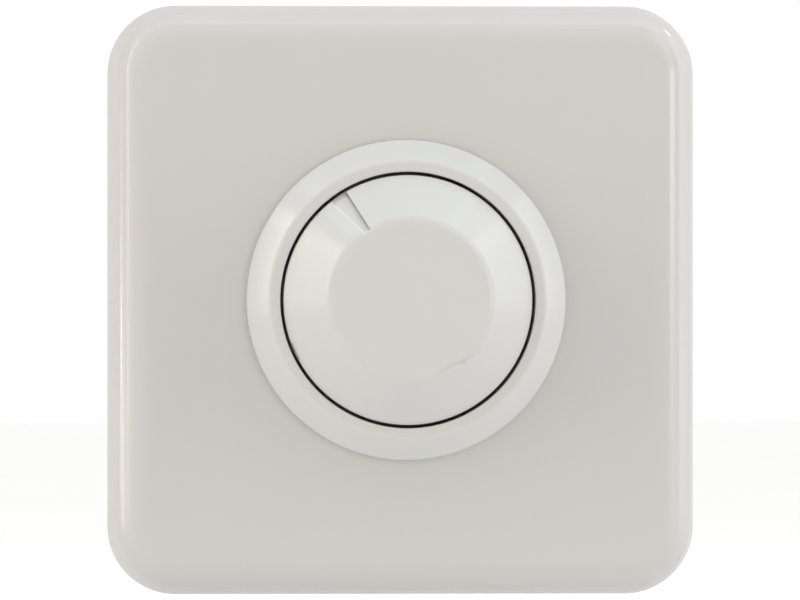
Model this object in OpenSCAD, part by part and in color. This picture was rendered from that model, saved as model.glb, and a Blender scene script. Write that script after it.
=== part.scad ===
// Flush-mounted rotary dimmer: turn the knob to dim, push it to switch on and off
// The front faces -Y and the wall is the plane y = 0, with the origin at the plate's middle
// Pieces are drawn with height standing out of the wall: heights below zero lie in the wall box

/* [Cover plate] */
// Width and height of the square plate
plate_w = 86; // [84:1:100]
// Radius of the plate's corners, seen from the front
plate_corner = 10; // [8:0.5:16]
// How far the plate's face stands out from the wall
plate_h = 9; // [8:0.5:11]
// Roundness of the edge between side and face
plate_round = 5; // [3:0.25:6]
// How far the side leans in on its way to the face
plate_draft = 0.9; // [0.3:0.1:2]
// Thickness of the plate's side wall
plate_wall = 2; // [1.4:0.1:2.6]
// Thickness of the plate's face
plate_skin = 2; // [1.4:0.1:2.6]
// Thickness of the ribs behind the face
rib_t = 1.2; // [0.8:0.1:2]

/* [Trim ring] */
// Radius of the ring's crest
crest_r = 20.2; // [17:0.1:24]
// Width of the slope from the crest out to the ring's foot
slope_w = 3.17; // [2.2:0.01:5]
// Width of the bevel from the crest in to the bore
bevel_w = 1.53; // [1:0.01:2.2]
// Height of the crest above the plate's face
crest_rise = 3.5; // [2.5:0.1:5]
// Height of the upright edge at the foot of the ring
ring_edge = 0.8; // [0.4:0.1:1.5]
// Drop from the crest down to the edge of the bore
ring_bevel = 0.3; // [0.2:0.1:1.5]
// Wall of the cup that reaches down through the plate
cup_wall = 1.2; // [0.9:0.1:1.4]
// Thickness of the cup's floor
floor_t = 1.5; // [1:0.1:2]

/* [Knob] */
// Width of the flank, from the rim in to the flat front
flank_w = 5.9; // [4.5:0.1:8]
// Height of the knob's rim above the plate's face
rim_rise = 3.1; // [2.2:0.1:4]
// Height of the flat front above the rim
flank_rise = 5.5; // [4.5:0.1:9]
// Depth of the straight skirt below the rim
skirt_depth = 2.5; // [1:0.1:2.6]
// Wall of the knob
knob_wall = 1.5; // [1.1:0.1:2]
// Softness of the edge around the flat front
flat_round = 2.2; // [0.8:0.1:3]
// Gap all round between knob and ring
knob_gap = 0.47; // [0.3:0.01:0.8]
// Angle of the pointer from straight up, turning left
pointer_angle = 34; // [0:1:90]
// Width of the pointer pocket at the rim
pointer_w = 2.5; // [1.5:0.1:4]
// Width of the pointer pocket at its inner end
pointer_tip = 1.05; // [0.6:0.05:2]
// Depth of the pointer pocket
pointer_depth = 0.4; // [0.2:0.05:0.8]

/* [Mounting frame] */
// Distance from the plate's side in to the edge of the pressed steel frame
frame_inset = 7.5; // [6:0.5:8]
// Thickness of the frame's sheet
frame_t = 1.2; // [1:0.1:1.5]
// Pitch of the wall box screws
screw_pitch = 60; // [60:1:62]
// Radius of the holes for the wall box screws
screw_hole_r = 2; // [1.8:0.1:2.3]
// Height of the folded rims
frame_rim = 2; // [1:0.1:2]

/* [Claws] */
// Gap between the claw screws' heads and the plate's collar
claw_gap = 0.33; // [0.3:0.01:0.8]
// Radius of the claw screws
claw_screw_r = 1.6; // [1.4:0.05:1.75]
// Radius of the round underside of the claw screws' heads
claw_head_r = 2.6; // [2.5:0.05:2.8]
// Thickness of the claws' sheet
claw_t = 1.2; // [0.9:0.1:1.3]
// Width of the claws
claw_w = 9; // [7:0.5:10]
// Reach of each claw beyond its screw
claw_reach = 4; // [3.5:0.1:5]

/* [Housing] */
// Radius of the housing
housing_r = 26.5; // [26.4:0.1:28]
// Depth of the housing behind the wall
housing_depth = 23.4; // [23.2:0.1:28]
// Wall of the housing
housing_wall = 1.5; // [1.2:0.1:1.6]
// Distance of the flat top and bottom from the middle
housing_flat = 22.5; // [22.4:0.1:24]
// Number of cooling slots on each side of the flat top's middle
vent_count = 3; // [1:1:3]

/* [Rotary control] */
// Radius of the shaft
shaft_r = 3; // [2.8:0.05:3.1]
// Distance from the shaft's axis to its flat
shaft_flat = 1.6; // [1.2:0.1:2]
// Radius of the threaded bush
bush_r = 5; // [4.6:0.1:5.2]
// Radius of the control's case
pot_r = 8.5; // [8.3:0.1:8.7]
// Sheet thickness of the control's case
pot_wall = 0.8; // [0.5:0.05:0.9]
// Travel of the knob when it is pushed
push_travel = 1.6; // [1:0.1:1.8]
// Turn of the knob from one stop to the other
turn_angle = 300; // [240:5:310]

/* [Board] */
// Thickness of the circuit board
board_t = 1.6; // [1:0.1:1.6]
// Radius of the glass fuse's tube
fuse_r = 2.5; // [2.3:0.05:2.5]
// Length of the fuse
fuse_l = 20; // [18:0.5:21]
// Radius of the choke's ring core, to the middle of its section
choke_r = 5.3; // [4.9:0.1:5.4]
// Radius of the section of the choke's core
choke_core_r = 2.4; // [2:0.05:2.4]
// Number of turns on the choke
choke_turns = 16; // [10:1:16]

/* [Terminals] */
// Number of wire terminals
terminal_count = 3; // [2:1:3]
// Gap between each wire terminal and the partitions beside it
terminal_gap = 0.25; // [0.2:0.01:0.3]
// Width of the wire terminals
terminal_w = 8; // [7:0.1:8.2]
// Width and height of the wire openings
wire_w = 5.4; // [4.8:0.1:5.6]

/* [Fits] */
// Gap between pieces that slide or turn in each other
slide_gap = 0.05; // [0.02:0.01:0.08]
// Gap between pieces that sit loosely beside each other
seat_gap = 0.3; // [0.2:0.05:0.35]

/* [Hidden] */
$fn = 64;

// Overrun of every cut past the face that it opens
cut = 0.1;
// Steps in a rounded corner
corner_steps = 8;

// Cover plate
hole_gap = 0.2;
collar_t = 1;
rib_clear = 0.3;
rib_count = 8;
rib_turn = 180 / rib_count;

// Trim ring
crest_round = 0.9;
ring_soft = 0.25;
ring_r = crest_r + slope_w;
bore_r = crest_r - bevel_w;
cup_r = bore_r + cup_wall;
crest_h = plate_h + crest_rise;

// Nuts and washer on the bush
thin_nut_t = 2;
nut_t = 2.5;
washer_t = 0.5;
washer_w = 3.5;
washer_r = bush_r + washer_w;
nut_wall = 2;
nut_flats = 2 * (bush_r + nut_wall);
nut_chamfer = 0.5;
floor_low = frame_t + thin_nut_t + seat_gap;
floor_high = floor_low + floor_t;
nut_low = floor_high + washer_t;
bush_past_nut = 0.6;
bush_end = nut_low + nut_t + bush_past_nut;

// Knob
rim_r = bore_r - knob_gap;
flat_r = rim_r - flank_w;
rim_h = plate_h + rim_rise;
knob_h = rim_h + flank_rise;
knob_inside = knob_h - knob_wall;
hub_low = bush_end + push_travel + seat_gap;
hub_wall = 1.6;
hub_slit = 1;
knob_rib_t = 1;
knob_rib_lift = 1;
knob_rib_count = 6;
nick_angle = 204.5;
nick_l = 2.9;
nick_depth = 0.15;
nick_h = 0.7;
clamp_wire_r = 0.4;
clamp_gap_angle = 40;

// Control, from the frame backwards
pot_front = -pot_wall;
clip_t = 0.5;
clip_rise = 1.4;
clip_sink = 0.6;
clip_r = shaft_r + clip_rise;
clip_groove_r = shaft_r - clip_sink;
clip_mouth = 2 * clip_groove_r - clip_sink;
clip_front = pot_front - pot_wall - 2 * slide_gap;
clip_back = clip_front - clip_t;
rotor_front = clip_back - push_travel - 4 * slide_gap;
rotor_t = 1.4;
rotor_back = rotor_front - rotor_t;
lug_room = 0.8;
rotor_r = pot_r - pot_wall - lug_room;
wiper_t = 0.3;
wiper_dimple_r = 0.65;
wiper_back = rotor_back - wiper_t - wiper_dimple_r;
track_inset = 1.5;
track_r = rotor_r - track_inset;
track_w = 1.5;
track_t = 0.15;
wafer_t = 1.2;
wafer_front = wiper_back - slide_gap - track_t;
wafer_back = wafer_front - wafer_t;
flange_inset = 1.5;
flange_r = pot_r - flange_inset;
stop_angle = 16;
stop_play = 1;
dimple_turn = 12;
track_spread = turn_angle + 3 * dimple_turn;
tongue_w = 13;
tongue_reach = 11;
leg_t = 0.3;
leg_w = 1.2;
leg_pitch = 4.2;
shaft_end = knob_inside - seat_gap;
shaft_chamfer = 0.5;

// Choke
choke_at = [-9.8, 12];
choke_wire_r = 0.4;
choke_wire_gap = 0.15;
choke_steps = 12;
choke_wind_r = choke_core_r + choke_wire_gap + choke_wire_r;
choke_reach = choke_r + choke_wind_r + choke_wire_r;

// Claws: their screws stand clear of the plate's collar in front and of the choke behind
claw_leg_gap = 0.4;
claw_back = claw_screw_r + claw_leg_gap + claw_t;
collar_r = cup_r + hole_gap + collar_t;
choke_side = choke_reach - choke_at.x + housing_wall + seat_gap;
claw_x = claw_gap + max(collar_r + claw_head_r, choke_side + claw_back);

// Board and the space around it
board_front = wafer_back - seat_gap;
board_back = board_front - board_t;
board_hole_r = shaft_r + seat_gap;
housing_floor = housing_wall - housing_depth;
boss_x = 21;
boss_y = 10.5;
boss_r = 2.3;
frame_screw_r = 1.1;
frame_screw_l = 9;
frame_screw_head_r = 2.2;
frame_screw_head = 1.4;
pocket_room = 1.5;
pocket_w = claw_w + 2 * pocket_room;
pocket_x = claw_x - claw_back - seat_gap;
ledge_r = 1.5;
rear_chamfer = 1.2;
ledge_angles = [90, 216, 324];
vent_w = 1.4;
vent_pitch = 3.4;
vent_lift = 2.5;
vent_drop = 2;
vent_low = housing_floor + vent_lift;
vent_high = board_back - vent_drop;
panel_w = 24;
panel_h = 18;
panel_y = 5.5;
panel_round = 2;
panel_depth = 0.4;
pin_mark_r = 1.5;
pin_mark_depth = 0.25;
pin_mark_at = [16.5, 14];
funnel = 0.5;

// Mounting frame
frame_w = plate_w - 2 * frame_inset;
frame_corner = 8;
side_slot_l = 9;
corner_hole_r = 1.3;
corner_hole_at = 30.5;
bead_r = 1.2;
bead_rise = 0.5;
bead_l = 34;
bead_at = 25.6;
short_bead_l = 13;
short_bead_at = [30.5, 15];
fuse_y = -14.5;
fuse_end_room = 2;
fuse_side_room = 0.8;
fuse_window_w = fuse_l + 2 * fuse_end_room;
fuse_window_h = 2 * (fuse_r + fuse_side_room);
trimmer_at = [12.4, -8];
trimmer_window_r = 2.6;

// Slots and feet of the claws
claw_slot_r = 2;
claw_slot_l = 4.8;
claw_pivot = frame_t + sqrt(pow(claw_head_r + slide_gap, 2) - pow(claw_slot_r, 2));
claw_top = -3;
claw_end = -17.7;
claw_lug = 2.6;
claw_bend = 1.8;
claw_screw_over = 1.44;
claw_screw_end = claw_end - claw_screw_over;
claw_head_top = 1;
tooth_w = claw_w / 3;
tooth_depth = 1.3;
drive_w = 0.8;
drive_depth = 0.7;

// Push switch behind the board
switch_w = 9.2;
switch_wall = 1;
switch_depth = 6.7;
plunger_r = 2;
plunger_flange = 6.4;
plunger_flange_t = 1.2;
plunger_front = wafer_back - seat_gap;
plunger_rest_gap = 0.2;
plunger_flange_front = board_back - switch_wall - plunger_rest_gap;
spring_front = plunger_flange_front - plunger_flange_t;
switch_back = board_back - switch_depth;
spring_r = 1.9;
spring_wire_r = 0.22;
spring_turns = 5;
spring_steps = 14;
spring_seat_r = 1.2;
bridge_t = 0.3;
bridge_w = 6.2;
bridge_hole_r = 2.25;
contact_r = 0.4;
contact_at = 2.7;
contact_top = spring_front - bridge_t - push_travel - slide_gap;
strap_w = 0.9;
strap_t = 0.4;

choke_h = board_back - choke_wind_r - choke_wire_r - slide_gap;

// Capacitors, with their width, thickness and height
cap_foot = 0.5;
film_gap = 1.75;
film_at = [9, 16.5];
film_size = [13, 5, board_back - cap_foot - housing_floor - film_gap];
timing_at = [10, 10];
timing_size = [7.2, 2.6, 6.5];
cap_leg_r = 0.35;
cap_round = 0.6;

// Power switch, flat against the frame
triac_y = 14.5;
triac_w = 10;
tab_t = 1.3;
tab_l = 6.5;
tab_left = -7.8;
triac_l = 9;
triac_t = 4.4;
pad_t = 0.25;
pad_over = 0.8;
triac_hole_r = 1.7;
triac_leg_w = 0.8;
triac_leg_t = 0.5;
triac_leg_pitch = 2.54;
triac_leg_reach = 1.8;
rivet_r = 1.55;
rivet_head_r = 2.8;
rivet_head = 0.8;

// Small parts behind the board
resistor_r = 1.15;
resistor_l = 6.2;
resistor_lead_r = 0.3;
resistor_at = [-13.1, -3];
resistor_pitch = 3.1;
resistor_count = 3;
diac_r = 0.95;
diac_l = 4;
diac_at = [12.6, -3.4];
lead_out = 0.6;
joint_r = 0.85;
joint_h = 0.75;

// Fuse and its clips, in front of the board
fuse_cap_t = 0.1;
cap_r = fuse_r + fuse_cap_t;
fuse_cap_l = 5;
fuse_glass_t = 0.5;
fuse_wire_r = 0.15;
clip_sheet = 0.4;
clip_w = 3.6;
fuse_h = board_front + cap_r + clip_sheet;
clip_mouth_angle = 100;

// Brightness adjuster
trimmer_w = 6.2;
trimmer_t = 2.6;
trimmer_r = 2.3;
trimmer_sink = 1;
trimmer_rise = 0.8;

// Terminals
terminal_d = 7;
terminal_h = 8;
terminal_y = housing_wall - housing_flat + seat_gap + terminal_d / 2;
terminal_wall = (terminal_h - wire_w) / 2;
terminal_screw_r = 1.55;
terminal_head_r = 2.7;
terminal_head = 1.8;
terminal_open = 1.3;
terminal_sink = 2.65;
terminal_low = board_back - terminal_h;
terminal_head_low = min(terminal_low - terminal_open - terminal_head, terminal_sink - housing_depth);
driver_hole_r = 3.1;
partition_t = 1;
terminal_pitch = terminal_w + partition_t + 2 * terminal_gap;

// Places of every lead that goes through the board, with the lead's radius
film_leg = film_size.x / 2 - 2 * cap_round;
timing_leg = timing_size.x / 2 - 2 * cap_round;
resistor_leg = resistor_l / 2 + 3 * resistor_lead_r;
diac_leg = diac_l / 2 + 3 * resistor_lead_r;
lead_places = [
    for (side = [-1, 1]) each [
        [film_at.x + side * film_leg, film_at.y, cap_leg_r],
        [timing_at.x + side * timing_leg, timing_at.y, cap_leg_r],
        [diac_at.x + side * diac_leg, diac_at.y, resistor_lead_r],
        for (i = [0:resistor_count - 1])
            [resistor_at.x + side * resistor_leg, resistor_at.y - i * resistor_pitch, resistor_lead_r]
    ]
];

// Geometry shared by the pieces

function unit(v) = v / norm(v);
function turned(v, angle) = [v.x * cos(angle) - v.y * sin(angle), v.x * sin(angle) + v.y * cos(angle)];

// Points of the arc that rounds corner p, between its neighbours a and b, with radius r
function corner_arc(a, p, b, r) =
    let (
        u = unit(a - p),
        v = unit(b - p),
        half = acos(u * v) / 2,
        centre = p + unit(u + v) * r / sin(half),
        start = p + u * r / tan(half) - centre,
        turn = -sign(cross(u, v)) * (180 - 2 * half)
    )
    [for (i = [0:corner_steps]) centre + turned(start, turn * i / corner_steps)];

// A polygon whose corners are [x, y, radius], rounded where the radius isn't zero
module outline(corners) {
    count = len(corners);
    flat = [for (c = corners) [c.x, c.y]];
    polygon([
        for (i = [0:count - 1])
            each corners[i].z > 0
                ? corner_arc(flat[(i + count - 1) % count], flat[i], flat[(i + 1) % count], corners[i].z)
                : [flat[i]]
    ]);
}

// A closed tube of radius r along a path of points, with frames from each point's normal
module sweep(path, normals, r, sides) {
    count = len(path);
    rings = [
        for (i = [0:count - 1])
            let (
                along = unit(path[min(i + 1, count - 1)] - path[max(i - 1, 0)]),
                side = unit(normals[i] - along * (normals[i] * along)),
                up = cross(along, side)
            )
            [for (k = [0:sides - 1]) path[i] + r * (cos(360 * k / sides) * side + sin(360 * k / sides) * up)]
    ];
    points = [for (ring = rings) each ring];
    walls = [
        for (i = [0:count - 2], k = [0:sides - 1])
            let (a = i * sides + k, b = i * sides + (k + 1) % sides)
            each [[a, a + sides, b + sides], [a, b + sides, b]]
    ];
    first = [for (k = [0:sides - 1]) k];
    last = [for (k = [sides - 1:-1:0]) (count - 1) * sides + k];
    polyhedron(points = points, faces = concat(walls, [first, last]));
}

// Turns a drawn piece so that its height stands out of the wall
module out_of_wall(at = [0, 0]) {
    translate([at.x, 0, at.y]) rotate([90, 0, 0]) children();
}

module post(r, low, high) {
    translate([0, 0, low]) cylinder(r = r, h = high - low);
}

module tube(outer_r, inner_r, low, high) {
    difference() {
        post(outer_r, low, high);
        post(inner_r, low - cut, high + cut);
    }
}

module block(w, d, low, high) {
    translate([-w / 2, -d / 2, low]) cube([w, d, high - low]);
}

// A profile of width and height, carried along the plate's up direction for length l
module along_up(l) {
    translate([0, l / 2, 0]) rotate([90, 0, 0]) linear_extrude(l) children();
}

module slot(l, r) {
    for (side = [-1, 1]) translate([side * (l / 2 - r), 0]) circle(r);
    square([l - 2 * r, 2 * r], center = true);
}

// A round section with a flat on one side
module d_section(r, flat) {
    difference() {
        circle(r);
        translate([-r, flat]) square([2 * r, r]);
    }
}

// A hexagon nut with chamfered corners
module hex_nut(bore_r, low, t) {
    corner_r = nut_flats / 2 / cos(30);
    chamfer_r = nut_flats / 2;
    difference() {
        intersection() {
            translate([0, 0, low]) cylinder(r = corner_r, h = t, $fn = 6);
            rotate_extrude() polygon([
                [0, low],
                [chamfer_r, low],
                [corner_r, low + nut_chamfer],
                [corner_r, low + t - nut_chamfer],
                [chamfer_r, low + t],
                [0, low + t]
            ]);
        }
        post(bore_r, low - cut, low + t + cut);
    }
}

// A cross recess, cut down from height high
module cross_recess(l, high) {
    for (turn = [0, 90]) rotate(turn) block(l, drive_w, high - drive_depth, high + cut);
}

// Cover plate

module pad_edge(corner_r, h, draft, round_r) {
    outline([[0, 0, 0], [corner_r, 0, 0], [corner_r - draft, h, round_r], [0, h, 0]]);
}

// A square with round corners and a rounded upper edge
module pad(w, corner_r, h, draft, round_r) {
    middle = w / 2 - corner_r;
    for (turn = [0:90:270]) rotate(turn) {
        translate([middle, middle]) rotate_extrude(angle = 90) pad_edge(corner_r, h, draft, round_r);
        translate([middle, 0, 0]) along_up(2 * middle) pad_edge(corner_r, h, draft, round_r);
    }
    block(2 * middle, 2 * middle, 0, h);
}

module cover_plate() {
    inside = plate_h - plate_skin;
    hole_r = cup_r + hole_gap;
    rib_low = frame_t + frame_rim + rib_clear;
    color("#d8d4ce") out_of_wall() difference() {
        pad(plate_w, plate_corner, plate_h, plate_draft, plate_round);
        difference() {
            translate([0, 0, -cut])
                pad(plate_w - 2 * plate_wall, plate_corner - plate_wall, inside + cut,
                    plate_draft, plate_round - plate_skin / 2);
            tube(collar_r, hole_r, rib_low, plate_h);
            for (turn = [0:360 / rib_count:359]) rotate(turn + rib_turn)
                translate([0, hole_r, rib_low]) translate([-rib_t / 2, 0, 0])
                    cube([rib_t, plate_w, plate_h]);
        }
        post(hole_r, -cut, plate_h + cut);
    }
}

// Trim ring: a cup whose flange rests on the plate and whose floor the nut clamps

module trim_ring() {
    hole_r = bush_r + 3 * slide_gap;
    color("#e3e2de") out_of_wall() rotate_extrude() outline([
        [hole_r, floor_low, 0],
        [cup_r, floor_low, ring_soft],
        [cup_r, plate_h, 0],
        [ring_r, plate_h, 0],
        [ring_r, plate_h + ring_edge, ring_soft],
        [crest_r, crest_h, crest_round],
        [bore_r, crest_h - ring_bevel, ring_soft],
        [bore_r, floor_high, ring_soft],
        [hole_r, floor_high, 0]
    ]);
}

module retaining_nut() {
    color("#b9a26a") out_of_wall() hex_nut(bush_r, nut_low, nut_t);
}

module lock_washer() {
    color("#b8bab9") out_of_wall() tube(washer_r, bush_r + slide_gap, floor_high, nut_low);
}

module bush_nut() {
    color("#b9a26a") out_of_wall() hex_nut(bush_r, frame_t, thin_nut_t);
}

// Knob

// The wedge-shaped pocket in the flank, open at the rim
module pointer_pocket() {
    flank_l = norm([rim_r - flat_r, flank_rise]);
    lean = atan2(flank_rise, rim_r - flat_r);
    rotate(pointer_angle) translate([0, (flat_r + rim_r) / 2, rim_h + flank_rise / 2]) rotate([-lean, 0, 0])
        translate([0, 0, -pointer_depth]) linear_extrude(pointer_depth + flat_round) polygon([
            [-pointer_tip / 2, -flank_l / 2],
            [pointer_tip / 2, -flank_l / 2],
            [pointer_w / 2, flank_l / 2],
            [pointer_w / 2, flank_l],
            [-pointer_w / 2, flank_l],
            [-pointer_w / 2, flank_l / 2]
        ]);
}

// The worn nick in the lower left of the rim
module rim_nick() {
    rotate(nick_angle) translate([rim_r - nick_depth, -nick_l / 2, rim_h - nick_h])
        cube([rim_r, nick_l, nick_h]);
}

module knob() {
    hub_r = shaft_r + hub_wall;
    skirt_low = rim_h - skirt_depth;
    color("#dddbd6") out_of_wall() difference() {
        union() {
            rotate_extrude() outline([
                [0, knob_inside, 0],
                [flat_r - knob_wall / 2, knob_inside, knob_wall],
                [rim_r - knob_wall, rim_h - knob_wall / 2, 0],
                [rim_r - knob_wall, skirt_low, 0],
                [rim_r, skirt_low, 0],
                [rim_r, rim_h, ring_soft],
                [flat_r, knob_h, flat_round],
                [0, knob_h, 0]
            ]);
            post(hub_r, hub_low, knob_inside + knob_wall / 2);
            intersection() {
                for (turn = [0:360 / knob_rib_count:359]) rotate(pointer_angle + turn)
                    translate([0, -knob_rib_t / 2, hub_low + knob_rib_lift])
                        cube([rim_r, knob_rib_t, knob_inside - hub_low - knob_rib_lift + knob_wall / 2]);
                rotate_extrude() outline([
                    [0, skirt_low, 0],
                    [rim_r - knob_wall / 2, skirt_low, 0],
                    [rim_r - knob_wall / 2, rim_h - knob_wall / 2, 0],
                    [flat_r - knob_wall / 2, knob_h - knob_wall / 2, knob_wall],
                    [0, knob_h - knob_wall / 2, 0]
                ]);
            }
        }
        rotate(pointer_angle) translate([0, 0, hub_low - cut])
            linear_extrude(knob_inside - hub_low + cut) d_section(shaft_r, shaft_flat);
        rotate(pointer_angle) block(2 * (hub_r + cut), hub_slit, hub_low - cut, hub_low + knob_rib_lift);
        pointer_pocket();
        rim_nick();
    }
}

// The open wire ring that closes the slit hub on the shaft
module knob_clamp_ring() {
    ring_at = hub_low + knob_rib_lift / 2;
    color("#9a9c9c") out_of_wall() rotate(pointer_angle + 90 + clamp_gap_angle / 2)
        translate([0, 0, ring_at]) rotate_extrude(angle = 360 - clamp_gap_angle)
            translate([shaft_r + hub_wall + clamp_wire_r, 0]) circle(clamp_wire_r);
}

// Rotary control

module pot_bush() {
    color("#a9abac") out_of_wall() rotate_extrude() outline([
        [shaft_r + slide_gap, pot_front, 0],
        [flange_r, pot_front, 0],
        [flange_r, 0, 0],
        [bush_r, 0, 0],
        [bush_r, bush_end - nut_chamfer, 0],
        [bush_r - nut_chamfer, bush_end, 0],
        [shaft_r + slide_gap, bush_end, 0]
    ]);
}

// An arc-shaped lug between two radii, centred on a direction
module ring_lug(inner_r, outer_r, middle, spread, low, high) {
    rotate(middle - spread / 2) translate([0, 0, low]) rotate_extrude(angle = spread)
        translate([inner_r, 0]) square([outer_r - inner_r, high - low]);
}

module pot_case() {
    inner_r = pot_r - pot_wall;
    stop_spread = 360 - turn_angle - stop_angle - 2 * stop_play;
    notch_w = tongue_w + 2 * slide_gap;
    notch_in = sqrt(pow(inner_r, 2) - pow(notch_w / 2, 2));
    color("#a7a9a6") out_of_wall() {
        difference() {
            post(pot_r, wafer_back, pot_front);
            post(inner_r, wafer_back - cut, pot_front - pot_wall);
            post(shaft_r + seat_gap, pot_front - pot_wall - cut, pot_front + cut);
            translate([0, -(pot_r + notch_in) / 2, 0])
                block(notch_w, pot_r - notch_in + 2 * cut, wafer_back - cut, wafer_front + leg_t + seat_gap);
        }
        ring_lug(rotor_r + slide_gap, inner_r + slide_gap, 270, stop_spread, rotor_back, rotor_front);
    }
}

module pot_rotor() {
    lug_out = pot_r - pot_wall - slide_gap;
    color("#3b3b3d") out_of_wall() rotate(pointer_angle) {
        difference() {
            post(rotor_r - slide_gap, rotor_back, rotor_front);
            translate([0, 0, rotor_back - cut]) linear_extrude(rotor_t + 2 * cut)
                d_section(shaft_r + slide_gap, shaft_flat + slide_gap);
        }
        ring_lug(rotor_r - 2 * slide_gap, lug_out, 90, stop_angle, rotor_back, rotor_front);
    }
}

// The brass wiper under the rotor, with two dimples that run on the track
module pot_wiper() {
    color("#c9a85a") out_of_wall() rotate(pointer_angle) {
        tube(track_r + track_w / 2, shaft_r + 2 * seat_gap, rotor_back - wiper_t, rotor_back);
        for (side = [-1, 1]) rotate(90 + side * dimple_turn) translate([track_r, 0, rotor_back - wiper_t])
            difference() {
                sphere(wiper_dimple_r);
                post(2 * wiper_dimple_r, wiper_t / 2, 2 * wiper_dimple_r);
            }
    }
}

module pot_wafer() {
    wafer_r = pot_r - pot_wall - slide_gap;
    color("#8a5a34") out_of_wall() difference() {
        union() {
            post(wafer_r, wafer_back, wafer_front);
            translate([0, -tongue_reach / 2, 0]) block(tongue_w, tongue_reach, wafer_back, wafer_front);
        }
        post(shaft_r + seat_gap, wafer_back - cut, wafer_front + cut);
    }
}

module pot_track() {
    color("#26262a") out_of_wall() rotate(90 - track_spread / 2) translate([0, 0, wafer_front])
        rotate_extrude(angle = track_spread) translate([track_r - track_w / 2, 0]) square([track_w, track_t]);
}

// Three solder legs, riveted on the wafer's tongue and bent back to the board
module pot_terminals() {
    start = pot_r + seat_gap;
    bend = tongue_reach + leg_t;
    color("#c8c8c4") out_of_wall() for (i = [-1:1]) translate([i * leg_pitch - leg_w / 2, 0, 0])
        rotate([90, 0, 90]) linear_extrude(leg_w) polygon([
            [-start, wafer_front],
            [-start, wafer_front + leg_t],
            [-bend, wafer_front + leg_t],
            [-bend, board_front],
            [-tongue_reach, board_front],
            [-tongue_reach, wafer_front]
        ]);
}

module pot_shaft() {
    knob_flat_low = bush_end + seat_gap;
    color("#c4c6c6") out_of_wall() rotate(pointer_angle) difference() {
        rotate_extrude() outline([
            [0, wafer_back, 0],
            [shaft_r - shaft_chamfer, wafer_back, 0],
            [shaft_r, wafer_back + shaft_chamfer, 0],
            [shaft_r, clip_back, 0],
            [clip_groove_r, clip_back, 0],
            [clip_groove_r, clip_front, 0],
            [shaft_r, clip_front, 0],
            [shaft_r, shaft_end - shaft_chamfer, 0],
            [shaft_r - shaft_chamfer, shaft_end, 0],
            [0, shaft_end, 0]
        ]);
        translate([0, shaft_flat + shaft_r / 2, 0]) {
            block(3 * shaft_r, shaft_r, knob_flat_low, shaft_end + cut);
            block(3 * shaft_r, shaft_r, wafer_back - cut, clip_back);
        }
    }
}

module shaft_clip() {
    color("#8f9294") out_of_wall() rotate(pointer_angle) difference() {
        tube(clip_r, clip_groove_r, clip_back, clip_front);
        translate([0, -clip_r, 0]) block(clip_mouth, 2 * clip_r, clip_back - cut, clip_front + cut);
    }
}

// Mounting frame and claws

// The upper side of a rod with round ends, which stands out of a face at height low
module bead(l, low) {
    middle = low + bead_rise - bead_r;
    intersection() {
        union() {
            for (side = [-1, 1]) translate([side * (l / 2 - bead_r), 0, middle]) sphere(bead_r);
            translate([0, 0, middle]) rotate([0, 90, 0]) post(bead_r, bead_r - l / 2, l / 2 - bead_r);
        }
        block(2 * l, 4 * bead_r, low - frame_t / 2, low + bead_r);
    }
}

module at_beads() {
    for (up = [-1, 1]) translate([0, up * bead_at, 0]) children(0);
    for (side = [-1, 1], up = [-1, 1]) translate([side * short_bead_at.x, up * short_bead_at.y, 0])
        rotate(90) children(1);
}

// The pressed sheet seen from the front, with all its holes
module frame_outline(half) {
    difference() {
        outline([
            [-half, -half, frame_corner],
            [half, -half, frame_corner],
            [half, half, frame_corner],
            [-half, half, frame_corner]
        ]);
        circle(bush_r + 2 * slide_gap);
        for (side = [-1, 1]) {
            translate([side * screw_pitch / 2, 0]) circle(screw_hole_r);
            translate([0, side * screw_pitch / 2]) slot(side_slot_l, screw_hole_r);
            translate([side * claw_x, 0]) slot(claw_slot_l, claw_slot_r);
            for (up = [-1, 1]) {
                translate([side * boss_x, up * boss_y]) circle(frame_screw_r + 2 * slide_gap);
                translate([side * corner_hole_at, up * corner_hole_at]) circle(corner_hole_r);
            }
        }
        translate([0, fuse_y]) square([fuse_window_w, fuse_window_h], center = true);
        translate(trimmer_at) circle(trimmer_window_r);
        translate([tab_left + tab_l / 2, triac_y]) circle(rivet_r + slide_gap);
    }
}

module support_frame() {
    half = frame_w / 2;
    color("#b3b6b8") out_of_wall() difference() {
        union() {
            linear_extrude(frame_t) frame_outline(half);
            for (side = [-1, 1]) translate([0, side * (half - frame_t / 2), 0])
                block(frame_w - 2 * frame_corner, frame_t, frame_t / 2, frame_t + frame_rim);
            at_beads() {
                bead(bead_l, frame_t);
                bead(short_bead_l, frame_t);
            }
        }
        at_beads() {
            bead(bead_l, 0);
            bead(short_bead_l, 0);
        }
    }
}

module claw() {
    out_of_wall() difference() {
        translate([claw_x, 0, 0]) along_up(claw_w) outline([
            [claw_lug, claw_top, 0],
            [-claw_back, claw_top, claw_bend],
            [-claw_back, claw_end, claw_bend],
            [claw_reach, claw_end, 0],
            [claw_reach, claw_end + claw_t, 0],
            [claw_t - claw_back, claw_end + claw_t, claw_bend / 3],
            [claw_t - claw_back, claw_top - claw_t, claw_bend / 3],
            [claw_lug, claw_top - claw_t, 0]
        ]);
        translate([claw_x, 0, 0]) post(claw_screw_r, claw_end - cut, claw_end + claw_t + cut);
        translate([claw_x, 0, 0]) post(claw_screw_r + 3 * slide_gap, claw_top - claw_t - cut, claw_top + cut);
        for (up = [-1, 1]) translate([claw_x + claw_reach, up * claw_w / 4, claw_end - cut])
            linear_extrude(claw_t + 2 * cut) polygon([
                [cut, -tooth_w / 2],
                [cut, tooth_w / 2],
                [-tooth_depth, 0]
            ]);
    }
}

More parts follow.
